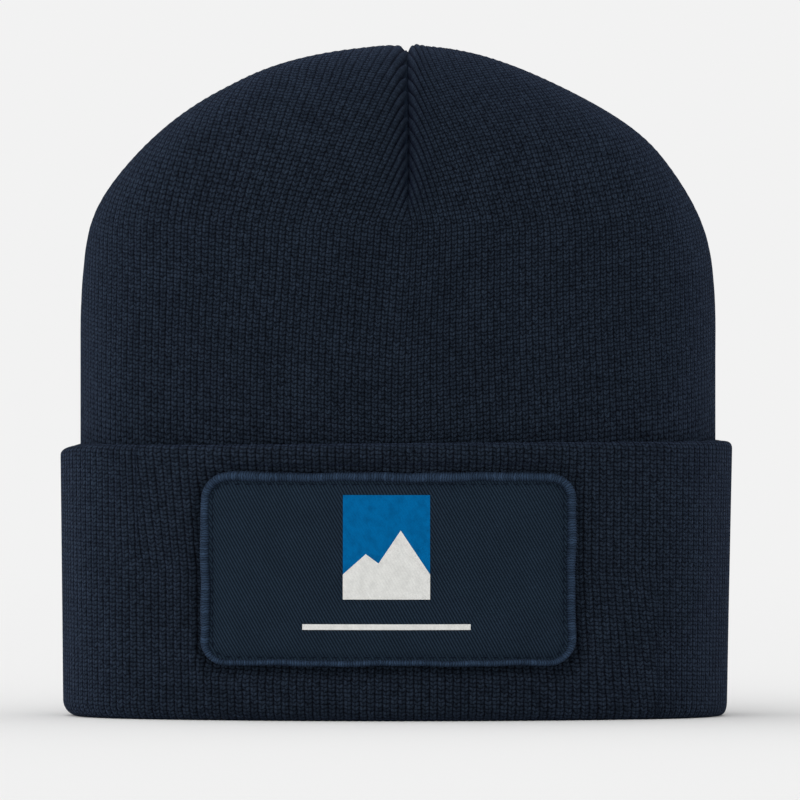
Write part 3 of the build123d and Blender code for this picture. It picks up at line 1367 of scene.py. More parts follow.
@dataclass
class CuffKnit:
    """The turned-up cuff's knit: its outer layer, its rolled edge and the lower fold.

    Attributes:
        form: The hat's sizes.
        patch: The patch, which the knit gives way to.
        right: Wales of a right quarter.
        left: Wales of a left quarter.
        splits: Points across a wale.
        course: Height of a stitch.
        rib_depth: Height of the ribs.
        flare: How much wider the cuff is at its top than at its foot, each side.
        tilt: How much its top edge climbs from the middle to the right side.
        wave: Size of its slow unevenness.
        waves: The waves that make it up.
        flare_lean: How much more the right side flares than the left.
        draw_in: How far both sides lie inside the plain form.
        draw_right: How much further the right side does, and the left side less.
        lean: How much the wales lean beside the patch, by the distance from the middle.
        slant: How much the courses fall to the right.
        tilt_start: Height where the tilt starts.
        edge_start: Height where the top edge's own waves start.
        edge_end: Height where both are complete.
        edge_wave: Size of the top edge's waves.
        edge_waves: How many of them go round the hat.
        edge_drop: How far the top edge falls at the sides.
        edge_power: How close to the sides it does.
        face_rows: Spaces between the rows of the outer layer's face.
        back_rows: Spaces between those of its back.
        roll_rows: Spaces between the rows over the rolled rim.
        fold_outer: Radius of the lower fold on the face's side.
        fold_inner: Its radius on the head's side.
        fold_rows: Spaces between its rows on the head's side and on the face's side.
        weld: Corners nearer than this are one.
    """

    form: Form
    patch: "PatchShape"
    right: Gauge = Gauge(54, 0.0)
    left: Gauge = Gauge(52, 0.06)
    splits: int = 6
    course: float = 1.33 * MM
    rib_depth: float = 0.18 * MM
    flare: float = 0.64 * MM
    tilt: float = 0.8 * MM
    wave: float = 0.18 * MM
    waves: tuple[SlowWave, ...] = (
        SlowWave(1.0, 3, 0.6, 0.0),
        SlowWave(0.7, 7, 2.1, 18.0),
        SlowWave(0.45, 13, 4.0, -30.0),
    )
    flare_lean: float = 0.25
    draw_in: float = 0.46 * MM
    draw_right: float = 0.64 * MM
    lean: Hump = Hump(0.13, 84 * MM, 26 * MM)
    slant: float = 0.055
    tilt_start: float = 40 * MM
    edge_start: float = 60 * MM
    edge_end: float = 85 * MM
    edge_wave: float = 0.3 * MM
    edge_waves: int = 5
    edge_drop: float = 1.4 * MM
    edge_power: int = 8
    face_rows: int = 30
    back_rows: int = 6
    roll_rows: int = 12
    fold_outer: float = 5.0 * MM
    fold_inner: float = 3.4 * MM
    fold_rows: tuple[int, int] = (6, 8)
    weld: float = 0.01 * MM

    def columns(self) -> tuple[Array, Array]:
        """Every point round the cuff.

        Returns:
            The angle that each faces from straight ahead, all the way round to the right,
            and its wale.
        """
        front, side, meet, length = self.form.plan.quarter(0.0, 1.0)
        turns, wales = [], []
        for gauge in (self.right, self.left):
            wale = np.arange(gauge.wales * self.splits + 1) / self.splits
            run = gauge.share(wale) * length
            facing = np.where(run < front * meet, run / front, meet + (run - front * meet) / side)
            turns.append(np.concatenate([facing, math.pi - facing[::-1][1:]]))
            wales.append(np.concatenate([wale, 2 * gauge.wales - wale[::-1][1:]]))
        turn = np.concatenate([turns[0], 2 * math.pi - turns[1][::-1][1:]])
        last = wales[0][-1]
        wale = np.concatenate([wales[0], last + wales[1][-1] - wales[1][::-1][1:]])
        return turn, wale

    def drift(self, turn: Array, height: float) -> Array:
        """How far the patch has pushed the wales round the hat, as an angle."""
        middle = self.patch.middle_z
        front = self.form.plan.quarter(0.0, 1.0)[0]
        beside = self.lean.at(np.abs(np.sin(turn)) * front) * (np.cos(turn) > 0)
        upper = max(height - middle, 0.0) * (np.sin(turn) < 0)
        lower = min(height - middle, 0.0) * (np.sin(turn) > 0)
        return -beside * (upper + lower) / front

    def wall(self, turn: Array, inset: Array) -> tuple[Array, Array]:
        """Where the wall is at each angle, an inset inside the cuff's face."""
        plan = self.form.plan
        front, side, meet, _ = plan.quarter(0.0, 1.0)
        sine, cosine = np.sin(turn), np.cos(turn)
        flat = np.abs(sine) < math.sin(meet)
        radius = np.where(flat, front, side) - inset
        centre_x = np.where(flat, 0.0, (plan.width - side) * np.sign(sine))
        centre_ahead = np.where(flat, -(front - plan.depth) * np.sign(cosine), 0.0)
        x = centre_x + radius * sine
        ahead = centre_ahead + radius * cosine
        return x, plan.middle_y - ahead

    def unevenness(self, turn: Array, height: Array) -> Array:
        """Slow in-and-out of the cuff's face, and how the patch holds it."""
        slow = sum(
            part.size * np.sin(part.count * turn + part.start + part.twist * height)
            for part in self.waves
        )
        spread = self.flare * (2 * height / self.patch.cuff_height - 1)
        spread = spread * (1 + self.flare_lean * np.sin(turn))
        sideways = np.sin(turn) * np.abs(np.sin(turn))
        drawn = self.draw_in * sideways**2 + self.draw_right * sideways
        return self.wave * slow + spread - drawn

    def lift(self, turn: Array, height: float) -> Array:
        """How far the cuff's top edge is off level, and the knit near it."""
        tilt = self.tilt * smooth_step(height, self.tilt_start, self.edge_end) * np.sin(turn)
        near_edge = smooth_step(height, self.edge_start, self.edge_end)
        waves = self.edge_wave * near_edge * np.sin(self.edge_waves * turn + 1)
        return tilt + waves - self.edge_drop * near_edge * np.sin(turn) ** self.edge_power

    def sweep(self, name: str, profile: list[Row]) -> Piece:
        """Carries a closed outline round the hat.

        Args:
            name: The piece's name.
            profile: The outline's rows.

        Returns:
            The piece.
        """
        straight, wale = self.columns()
        rows, maps = [], []
        face = next(number for number, row in enumerate(profile) if row.inset == 0.0)
        climbed = profile[face].height
        for before, row in zip(profile[:face], profile[1 : face + 1]):
            climbed -= math.hypot(row.inset - before.inset, row.height - before.height)
        last = profile[0]
        for row in profile:
            climbed += math.hypot(row.inset - last.inset, row.height - last.height)
            last = row
            turn = straight + self.drift(straight, row.height)
            relief = self.rib_depth * row.ribbed * (rib(wale) - 1)
            heights = np.full_like(turn, row.height)
            loose = self.unevenness(turn, heights) * row.ribbed
            give = self.patch.press(self.wall(turn, 0.0)[0], heights, np.cos(turn)) * row.ribbed
            out = relief + loose * abs(row.outward) + give * max(row.outward, 0.0)
            x, y = self.wall(turn, row.inset - out * row.outward)
            lifted = heights + relief * row.upward + self.lift(turn, row.height)
            rows.append(np.stack([x, y, lifted], axis=-1))
            maps.append(np.stack([wale, (climbed + self.slant * x) / self.course], axis=-1))
        grid = np.array(rows)
        uv = np.array(maps)
        made = grid_faces(len(profile), len(straight), 0, closed=True)
        return make_piece(
            name, grid.reshape(-1, 3), made, uv.reshape(-1, 2)[made].reshape(-1, 2), self.weld
        )

    def wall_profile(self) -> list[Row]:
        """Outline of the cuff's outer layer."""
        low, high = (corner[2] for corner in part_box("cuff_outer"))
        face = line_rows(0.0, low, high, list(np.linspace(0, 1, self.face_rows + 1)), 1.0, 1.0)
        down = list(np.linspace(1, 0, self.back_rows + 1))
        return face + line_rows(self.form.knit, low, high, down, -1.0, 0.0)

    def hem_profile(self) -> list[Row]:
        """Outline of the rolled edge: up the face, over and down the inner layer."""
        low, high = (corner[2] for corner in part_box("cuff_hem"))
        knit = self.form.knit
        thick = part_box("cuff_hem")[1][0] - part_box("cuff_inner")[1][0] + knit
        radius = thick / 2
        face = line_rows(0.0, low, high - radius, [0.0, 1 / 3, 2 / 3], 1.0, 1.0)
        face += arc_rows(radius, high - radius, radius, (0.0, math.pi), self.roll_rows)
        face += line_rows(thick, low, high - radius, [HALF, 0.0], -1.0, 1.0)
        face += line_rows(thick - knit, low, high - knit, [0.0, 1.0], 1.0, 0.0)
        return face + line_rows(knit, low, high - knit, [1.0, 0.0], -1.0, 0.0)

    def fold_profile(self) -> list[Row]:
        """Outline of the lower fold: down the head side, under and up the face."""
        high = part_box("lining_turn")[1][2]
        knit = self.form.knit
        deep = self.form.lining_inset + knit
        outer, inner = self.fold_outer, self.fold_inner
        head_rows, face_rows = self.fold_rows
        quarter = math.pi / 2
        face = line_rows(deep, high, inner, [0.0, 1 / 3, 2 / 3], -1.0, 1.0)
        face += arc_rows(deep - inner, inner, inner, (2 * quarter, 3 * quarter), head_rows)
        face += arc_rows(outer, outer, outer, (-quarter, 0.0), face_rows)
        face += line_rows(0.0, outer, high, [1 / 3, 2 / 3, 1.0], 1.0, 1.0)
        face += line_rows(knit, outer, high, [1.0, 0.0], 1.0, 0.0)
        face += [Row(outer, knit, 1.0, 0.0, 0.0), Row(deep - inner, knit, 1.0, 0.0, 0.0)]
        return face + line_rows(deep - knit, inner, high, [0.0, 1.0], -1.0, 0.0)


# ---- Patch -------------------------------------------------------------------------
@dataclass(frozen=True)
class Give:
    """How the knit gives way to the patch, by the distance outside its outline.

    Attributes:
        edge: The patch's edge presses it in.
        full: It is a little full beyond.
        sag: Below the patch it hangs fuller.
        tuck: There the edge presses it in further.
        under: How far it is pressed in all over, under the patch.
        under_reach: How far inside the edge that is complete.
        facing: From how far ahead the wall has to face for all this, and to where.
    """

    edge: Hump = Hump(-1.5 * MM, 0.2 * MM, 1.6 * MM)
    full: Hump = Hump(0.35 * MM, 6 * MM, 4 * MM)
    sag: Hump = Hump(0.9 * MM, 3.0 * MM, 1.7 * MM)
    tuck: Hump = Hump(-0.5 * MM, -0.3 * MM, 1.0 * MM)
    under: float = 0.5 * MM
    under_reach: float = 3 * MM
    facing: tuple[float, float] = (0.3, 0.6)


@dataclass(frozen=True)
class PatchShape:
    """The patch's place and outline on the front of the cuff.

    Attributes:
        form: The hat's sizes.
        middle_x: Its middle, sideways.
        middle_z: Its middle's height.
        width: Its width.
        height: Its height.
        corner: Radius of its corners.
        border: Width of its overlocked edge.
        cuff_height: Height of the cuff.
        rise: The twill's height off the cuff.
        drawn: What the sewing has drawn its size in to.
        shift_x: How far it is sewn to the right of its mark.
        shift_z: How far it is sewn above its mark.
        give: How the knit gives way to it.
        pillow: How far its middle stands out more than its edge.
        pillow_reach: How far inside the border that is complete.
        dip: The twill's dip along the border, by the distance inside it.
    """

    form: Form
    middle_x: float
    middle_z: float
    width: float
    height: float
    corner: float
    border: float
    cuff_height: float
    rise: float = 1.3 * MM
    drawn: float = 0.994
    shift_x: float = -0.4 * MM
    shift_z: float = 0.35 * MM
    give: Give = Give()
    pillow: float = 0.55 * MM
    pillow_reach: float = 9 * MM
    dip: Hump = Hump(-0.45 * MM, 0.3 * MM, 0.9 * MM)

    @staticmethod
    def from_frame(form: Form) -> "PatchShape":
        """Reads the patch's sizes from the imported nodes' boxes."""
        low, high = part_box("patch_border")
        return PatchShape(
            form=form,
            middle_x=(low[0] + high[0]) / 2,
            middle_z=(low[2] + high[2]) / 2,
            width=high[0] - low[0],
            height=high[2] - low[2],
            corner=PATCH_CORNER,
            border=PATCH_BORDER,
            cuff_height=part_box("cuff_hem")[1][2],
        )

    def edge_distance(self, x: Array, z: Array) -> Array:
        """Distance outside the patch's outline, negative inside, for places in its plane."""
        over_x = np.abs(x - self.middle_x) - (self.width / 2 - self.corner)
        over_z = np.abs(z - self.middle_z) - (self.height / 2 - self.corner)
        outside = np.hypot(np.maximum(over_x, 0), np.maximum(over_z, 0))
        return outside + np.minimum(np.maximum(over_x, over_z), 0) - self.corner

    def press(self, x: Array, z: Array, ahead: Array) -> Array:
        """How the knit gives way: pressed in under the edge, a little full beyond it."""
        gap = self.edge_distance(x, z)
        give = self.give
        pressed = give.edge.at(gap) - give.under * smooth_step(-gap, 0.0, give.under_reach)
        below = smooth_step(self.middle_z - z, self.height / 4, self.height / 2)
        sag = (give.sag.at(gap) + give.tuck.at(gap)) * below
        return (pressed + give.full.at(gap) + sag) * smooth_step(ahead, *give.facing)

    def wrap(self, x: Array, z: Array, out: Array) -> Array:
        """Puts places of the patch's plane on the curved front of the cuff.

        Args:
            x: Sideways places.
            z: Heights.
            out: Distances off the cuff's face.

        Returns:
            Places in the hat.
        """
        x = self.middle_x + (x - self.middle_x) * self.drawn + self.shift_x
        z = self.middle_z + (z - self.middle_z) * self.drawn + self.shift_z
        plan = self.form.plan
        front, _, _, _ = plan.quarter(0.0, 1.0)
        centre_y = plan.middle_y + front - plan.depth
        turn = np.arcsin(x / front)
        y = centre_y - (front + out) * np.cos(turn)
        return np.stack([x + out * np.sin(turn), y, z], axis=-1)

    def twill_out(self, x: Array, z: Array) -> Array:
        """The twill's height off the cuff: padded, dipped along the border, a bit uneven."""
        inside = -self.edge_distance(x, z)
        padded = smooth_step(inside, self.border, self.border + self.pillow_reach)
        pillow = self.pillow * padded
        dip = self.dip.at(inside - self.border)
        # Broad soft dents, and finer ones that run across the first.
        uneven = 0.14 * MM * np.sin(x / (11 * MM) + 1.3) * np.sin(z / (8 * MM) + 0.4)
        uneven = uneven + 0.08 * MM * np.sin(x / (4.7 * MM) - z / (6.1 * MM))
        return self.rise + pillow + dip + uneven

    def outline(self, inset: float, count: int) -> tuple[Array, Array, Array]:
        """Even steps round the patch, a distance inside its outer edge.

        Args:
            inset: Distance inside the outer edge.
            count: Number of steps.

        Returns:
            Places in the patch's plane, outward directions there, and distances round it.
        """
        half_x = self.width / 2 - self.corner
        half_z = self.height / 2 - self.corner
        radius = self.corner - inset
        arc = radius * math.pi / 2
        runs = [2 * half_x, arc, 2 * half_z, arc] * 2
        total = sum(runs)
        starts = np.concatenate([[0], np.cumsum(runs)])
        spots, looks = [], []
        corners = [(half_x, half_z), (half_x, -half_z), (-half_x, -half_z), (-half_x, half_z)]
        headings = [math.pi / 2, 0.0, -math.pi / 2, -math.pi]
        distances = np.arange(count) * total / count
        for distance in distances:
            part = int(np.searchsorted(starts, distance, side="right") - 1)
            along = distance - starts[part]
            number, is_arc = divmod(part, 2)
            heading = headings[number]
            if is_arc:
                heading -= along / radius
                centre = corners[number]
                look = (math.cos(heading), math.sin(heading))
                spot = (centre[0] + radius * look[0], centre[1] + radius * look[1])
            else:
                look = (math.cos(heading), math.sin(heading))
                tangent = (look[1], -look[0])
                end = corners[number]
                back = runs[part] - along
                spot = (
                    end[0] + radius * look[0] - back * tangent[0],
                    end[1] + radius * look[1] - back * tangent[1],
                )
            spots.append((spot[0] + self.middle_x, spot[1] + self.middle_z))
            looks.append(look)
        return np.array(spots), np.array(looks), distances


@dataclass(frozen=True)
class HillLine:
    """Top edge of the printed hills: each turn's place off their middle and its height.

    Attributes:
        low_hill: The left hill.
        saddle: The dip between the two.
        high_hill: The right hill.
        flank: Height at both ends.
    """

    low_hill: tuple[float, float] = (-6.5 * MM, 14.5 * MM)
    saddle: tuple[float, float] = (-2.5 * MM, 11.5 * MM)
    high_hill: tuple[float, float] = (4.5 * MM, 22.0 * MM)
    flank: float = 8.0 * MM

    def turns(self) -> list[tuple[float, float]]:
        """The turns between the ends, from left to right."""
        return [self.low_hill, self.saddle, self.high_hill]


@dataclass
class Patch:
    """The sewn patch: twill face, overlocked border, stitches and plain print.

    Attributes:
        shape: Its place and outline.
        thread_pitch: From one border thread to the next.
        thread_points: Points across a border thread.
        thread_ridge: How far a border thread stands out.
        thread_skew: How far it slants along the edge.
        border_sides: Points round the border.
        border_rise: Height of the border off the cuff.
        roll_width: Width of the border's roll.
        roll_tuck: How much of half that width turns in along the patch's lower edge.
        stitch_length: Length of a stitch.
        stitch_pitch: From one stitch to the next.
        stitch_radius: Half the sewing thread's thickness.
        film: Thickness of the print.
        film_gap: Between two prints, one on the other.
        hill_line: Top edge of the printed hills.
        hill_steps: Points across the hills.
        face_points: Points across and up the twill.
        face_thickness: Thickness of the twill.
        ridge_round: How full a border thread's crest is.
        border_sunk: How far the border sits in the knit.
        stitch_gap: From the border to the line of stitches.
        stitch_lift: How far the stitches lie off the twill.
        face_weld: Twill and print corners nearer than this are one.
        border_weld: Border corners nearer than this are one.
    """

    shape: PatchShape
    thread_pitch: float = 0.83 * MM
    thread_points: int = 6
    thread_ridge: float = 0.13 * MM
    thread_skew: float = 0.28 * MM
    border_sides: int = 18
    border_rise: float = 2.5 * MM
    roll_width: float = 2.8 * MM
    roll_tuck: float = 0.5 * MM
    stitch_length: float = 2.3 * MM
    stitch_pitch: float = 3.4 * MM
    stitch_radius: float = 0.22 * MM
    film: float = 0.12 * MM
    film_gap: float = 0.02 * MM
    hill_line: HillLine = HillLine()
    hill_steps: int = 48
    face_points: tuple[int, int] = (150, 80)
    face_thickness: float = 0.9 * MM
    ridge_round: float = 0.8
    border_sunk: float = 0.35 * MM
    stitch_gap: float = 0.5 * MM
    stitch_lift: float = 0.05 * MM
    face_weld: float = 0.002 * MM
    border_weld: float = 0.001 * MM

    def face(self) -> Piece:
        """The twill face, cut to the middle of the border, which covers its edge."""
        shape = self.shape
        trim = shape.border / 2
        wide, high = shape.width / 2 - trim, shape.height / 2 - trim
        columns, rows = self.face_points
        x, z = np.meshgrid(np.linspace(-wide, wide, columns), np.linspace(-high, high, rows))
        corner = shape.corner - trim
        over_x = np.maximum(np.abs(x) - (wide - corner), 0)
        over_z = np.maximum(np.abs(z) - (high - corner), 0)
        reach = np.hypot(over_x, over_z)
        pull = np.where(reach > corner, corner / np.maximum(reach, LEAST), 1.0)
        x = np.where(reach > corner, np.sign(x) * (wide - corner + over_x * pull), x) + shape.middle_x
        z = np.where(reach > corner, np.sign(z) * (high - corner + over_z * pull), z) + shape.middle_z
        out = shape.twill_out(x, z)
        front = shape.wrap(x, z, out)
        back = shape.wrap(x, z, out - self.face_thickness)
        return self.plate("patch_face_twill", front, back, x, z)

    def plate(
        self, name: str, front: Array, back: Array, x: Array, z: Array
    ) -> Piece:
        """A thin closed piece between two grids.

        Args:
            name: The piece's name.
            front: Places of the front grid.
            back: Places of the back grid.
            x: Sideways map values.
            z: Upward map values.

        Returns:
            The piece.
        """
        rows, columns = x.shape
        size = rows * columns
        ahead = grid_faces(rows, columns, 0)
        behind = ahead + size
        ring = np.concatenate(
            [
                np.arange(columns),
                np.arange(1, rows) * columns + columns - 1,
                (rows - 1) * columns + np.arange(columns - 2, -1, -1),
                np.arange(rows - 2, 0, -1) * columns,
            ]
        )
        following = np.roll(ring, -1)
        rim = np.stack([ring, following, following + size, ring + size], axis=-1)
        faces = np.concatenate([ahead, behind, rim])
        one = np.stack([x.ravel(), z.ravel()], axis=-1)
        uv = np.concatenate([one, one])[faces].reshape(-1, 2)
        points = np.concatenate([front.reshape(-1, 3), back.reshape(-1, 3)])
        return make_piece(name, points, faces, uv, self.face_weld)

    def border(self) -> Piece:
        """The overlocked edge: threads side by side over a soft roll."""
        shape = self.shape
        length = 2 * (shape.width + shape.height) - (8 - 2 * math.pi) * shape.corner
        threads = round(length / self.thread_pitch)
        count = threads * self.thread_points
        spots, looks, distances = shape.outline(shape.border / 2, count)
        ring = np.append(np.arange(count), 0)
        spots, looks, distances = spots[ring], looks[ring], distances[ring]
        around = np.linspace(0, 2 * math.pi, self.border_sides + 1)
        phase = np.arange(count + 1) / self.thread_points
        ridge = self.thread_ridge * np.abs(np.sin(math.pi * phase)) ** self.ridge_round
        turns = 2 * math.pi * distances / length
        # Sewn by hand-held cloth, it wanders and swells a little on its way round.
        sway = 0.16 * MM * np.sin(9 * turns + 1) + 0.09 * MM * np.sin(23 * turns)
        full = 1 + 0.05 * np.sin(6 * turns + 1) + 0.03 * np.sin(17 * turns)
        low = np.maximum(-looks[:, 1:2], 0)
        narrow = self.roll_tuck * low
        half_width = (self.roll_width / 2 - narrow) * full[:, None] + ridge[:, None]
        half_height = (self.border_rise / 2) * full[:, None] + ridge[:, None]
        sideways = half_width * np.cos(around)[None, :] + sway[:, None] - narrow
        skew = self.thread_skew * np.sin(around)[None, :]
        middle = self.border_rise / 2 - self.border_sunk
        out = middle + half_height * np.sin(around)[None, :]
        x = spots[:, 0:1] + looks[:, 0:1] * sideways - looks[:, 1:2] * skew
        z = spots[:, 1:2] + looks[:, 1:2] * sideways + looks[:, 0:1] * skew
        places = shape.wrap(x, z, out)
        made = grid_faces(count + 1, self.border_sides + 1, 0)
        over = np.broadcast_to(around[None, :] / (2 * math.pi), x.shape)
        threads_map = np.stack([np.broadcast_to(phase[:, None], x.shape), over], axis=-1)
        uv = threads_map.reshape(-1, 2)[made].reshape(-1, 2)
        places = places.reshape(-1, 3)
        return make_piece("patch_border_thread", places, made, uv, self.border_weld)

    def stitches(self) -> Piece:
        """The line of stitches inside the border, one thread capsule for each."""
        shape = self.shape
        inset = shape.border + self.stitch_gap
        straight = 2 * (shape.width + shape.height) - 8 * inset
        length = straight - (8 - 2 * math.pi) * (shape.corner - inset)
        count = round(length / self.stitch_pitch)
        spots, looks, _ = shape.outline(inset, count)
        out = shape.twill_out(spots[:, 0], spots[:, 1]) + self.stitch_lift
        places = shape.wrap(spots[:, 0], spots[:, 1], out)
        bpy.ops.object.select_all(action="DESELECT")
        made = []
        for place, look in zip(places, looks):
            tangent = Vector((look[1], 0.0, -look[0]))
            made.append(thread_stitch(Vector(place), tangent, self.stitch_length, self.stitch_radius))
        return join_pieces("patch_stitch_line", made)

    def film_grid(self, node: str) -> tuple[Array, Array]:
        """Grid of the patch's plane, about a point each millimetre, over a node's box."""
        low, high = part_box(node)
        columns = max(int((high[0] - low[0]) / MM), 2) + 1
        rows = max(int((high[2] - low[2]) / MM), 2) + 1
        return np.meshgrid(np.linspace(low[0], high[0], columns), np.linspace(low[2], high[2], rows))

    def print_film(self, name: str, x: Array, z: Array, lift: float) -> Piece:
        """Lays ink on the twill over a grid of places."""
        out = self.shape.twill_out(x, z) + lift
        front = self.shape.wrap(x, z, out + self.film)
        back = self.shape.wrap(x, z, out)
        return self.plate(name, front, back, x, z)

    def panel(self) -> Piece:
        """The plain coloured panel."""
        x, z = self.film_grid("print_panel")
        return self.print_film("print_panel_ink", x, z, 0.0)

    def rule(self) -> Piece:
        """The plain line below the panel."""
        x, z = self.film_grid("print_rule")
        return self.print_film("print_rule_ink", x, z, 0.0)

    def hills(self) -> Piece:
        """A low and a high hill on the panel, cut straight at their foot and sides."""
        low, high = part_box("print_hills")
        middle = (low[0] + high[0]) / 2
        edge = self.hill_line
        turns = [low[0], *(middle + x for x, _ in edge.turns()), high[0]]
        heights = [edge.flank, *(z for _, z in edge.turns()), edge.flank]
        across = np.union1d(np.linspace(low[0], high[0], self.hill_steps), turns)
        up = np.linspace(0, 1, self.hill_steps // 2)[:, None]
        z = low[2] + np.interp(across, turns, heights)[None, :] * up
        x = np.broadcast_to(across[None, :], z.shape).copy()
        return self.print_film("print_hills_ink", x, z, self.film + self.film_gap)


def thread_stitch(place: Vector, along: Vector, length: float, radius: float) -> Piece:
    """One stitch: a short thread that dips into the cloth at both ends.

    Args:
        place: Its middle.
        along: The way that it runs.
        length: Its length.
        radius: Half its thickness.

    Returns:
        The stitch.
    """
    bpy.ops.object.select_all(action="DESELECT")
    bpy.ops.mesh.primitive_uv_sphere_add(segments=8, ring_count=6, radius=1.0)
    stitch = bpy.context.object
    turn = Vector((0, 0, 1)).rotation_difference(along.normalized()).to_matrix()
    for vertex in stitch.data.vertices:
        spot = vertex.co
        scaled = Vector((spot.x * radius, spot.y * radius, spot.z * length / 2))
        vertex.co = place + turn @ scaled
    return stitch


def join_pieces(name: str, pieces: list[Piece]) -> Piece:
    """Joins copies of one small thing into one piece."""
    bpy.ops.object.select_all(action="DESELECT")
    for piece in pieces:
        piece.select_set(True)
    bpy.context.view_layer.objects.active = pieces[0]
    bpy.ops.object.join()
    joined = bpy.context.object
    joined.name = name
    joined.data.name = name
    joined.data.shade_smooth()
    return joined


# ---- Care label --------------------------------------------------------------------
@dataclass
class CareLabel:
    """Blank satin ribbon sewn to the back of the lining along its top edge.

    Attributes:
        thickness: Its thickness.
        curl: How far its free end curls away from the lining.
        lift: How far it lies off its place.
        steps: Faces across and up it.
    """

    thickness: float = 0.35 * MM
    curl: float = 1.6 * MM
    lift: float = 0.2 * MM
    steps: tuple[int, int] = (26, 22)

    def build(self) -> Piece:
        """The ribbon, hanging from its sewn edge with its free end a little curled."""
        low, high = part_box("care_label")
        wide, tall = (high[0] - low[0]) / 2, (high[2] - low[2]) / 2
        bpy.ops.object.select_all(action="DESELECT")
        across, up = self.steps
        bpy.ops.mesh.primitive_grid_add(x_subdivisions=across, y_subdivisions=up, size=2.0)
        label = bpy.context.object
        label.name = "care_label_ribbon"
        label.data.name = label.name
        layer = label.data.uv_layers.active
        layer.name = STITCH_MAP
        for vertex in label.data.vertices:
            spot = vertex.co
            curled = self.curl * ((1 - spot.y) / 2) ** 2
            y = low[1] - curled + self.lift
            vertex.co = (spot.x * wide, y, (low[2] + high[2]) / 2 + spot.y * tall)
        bpy.ops.object.modifier_add(type="SOLIDIFY")
        label.modifiers[-1].thickness = self.thickness
        bpy.ops.object.modifier_apply(modifier=label.modifiers[-1].name)
        label.data.shade_smooth()
        return label


# ---- Studio ------------------------------------------------------------------------
@dataclass(frozen=True)
class SoftBox:
    """One soft box far away.

    Attributes:
        place: Where it is, as a direction.
        spread: The higher, the smaller it is.
        strength: Its brightness.
    """

    place: tuple[float, float, float]
    spread: float
    strength: float


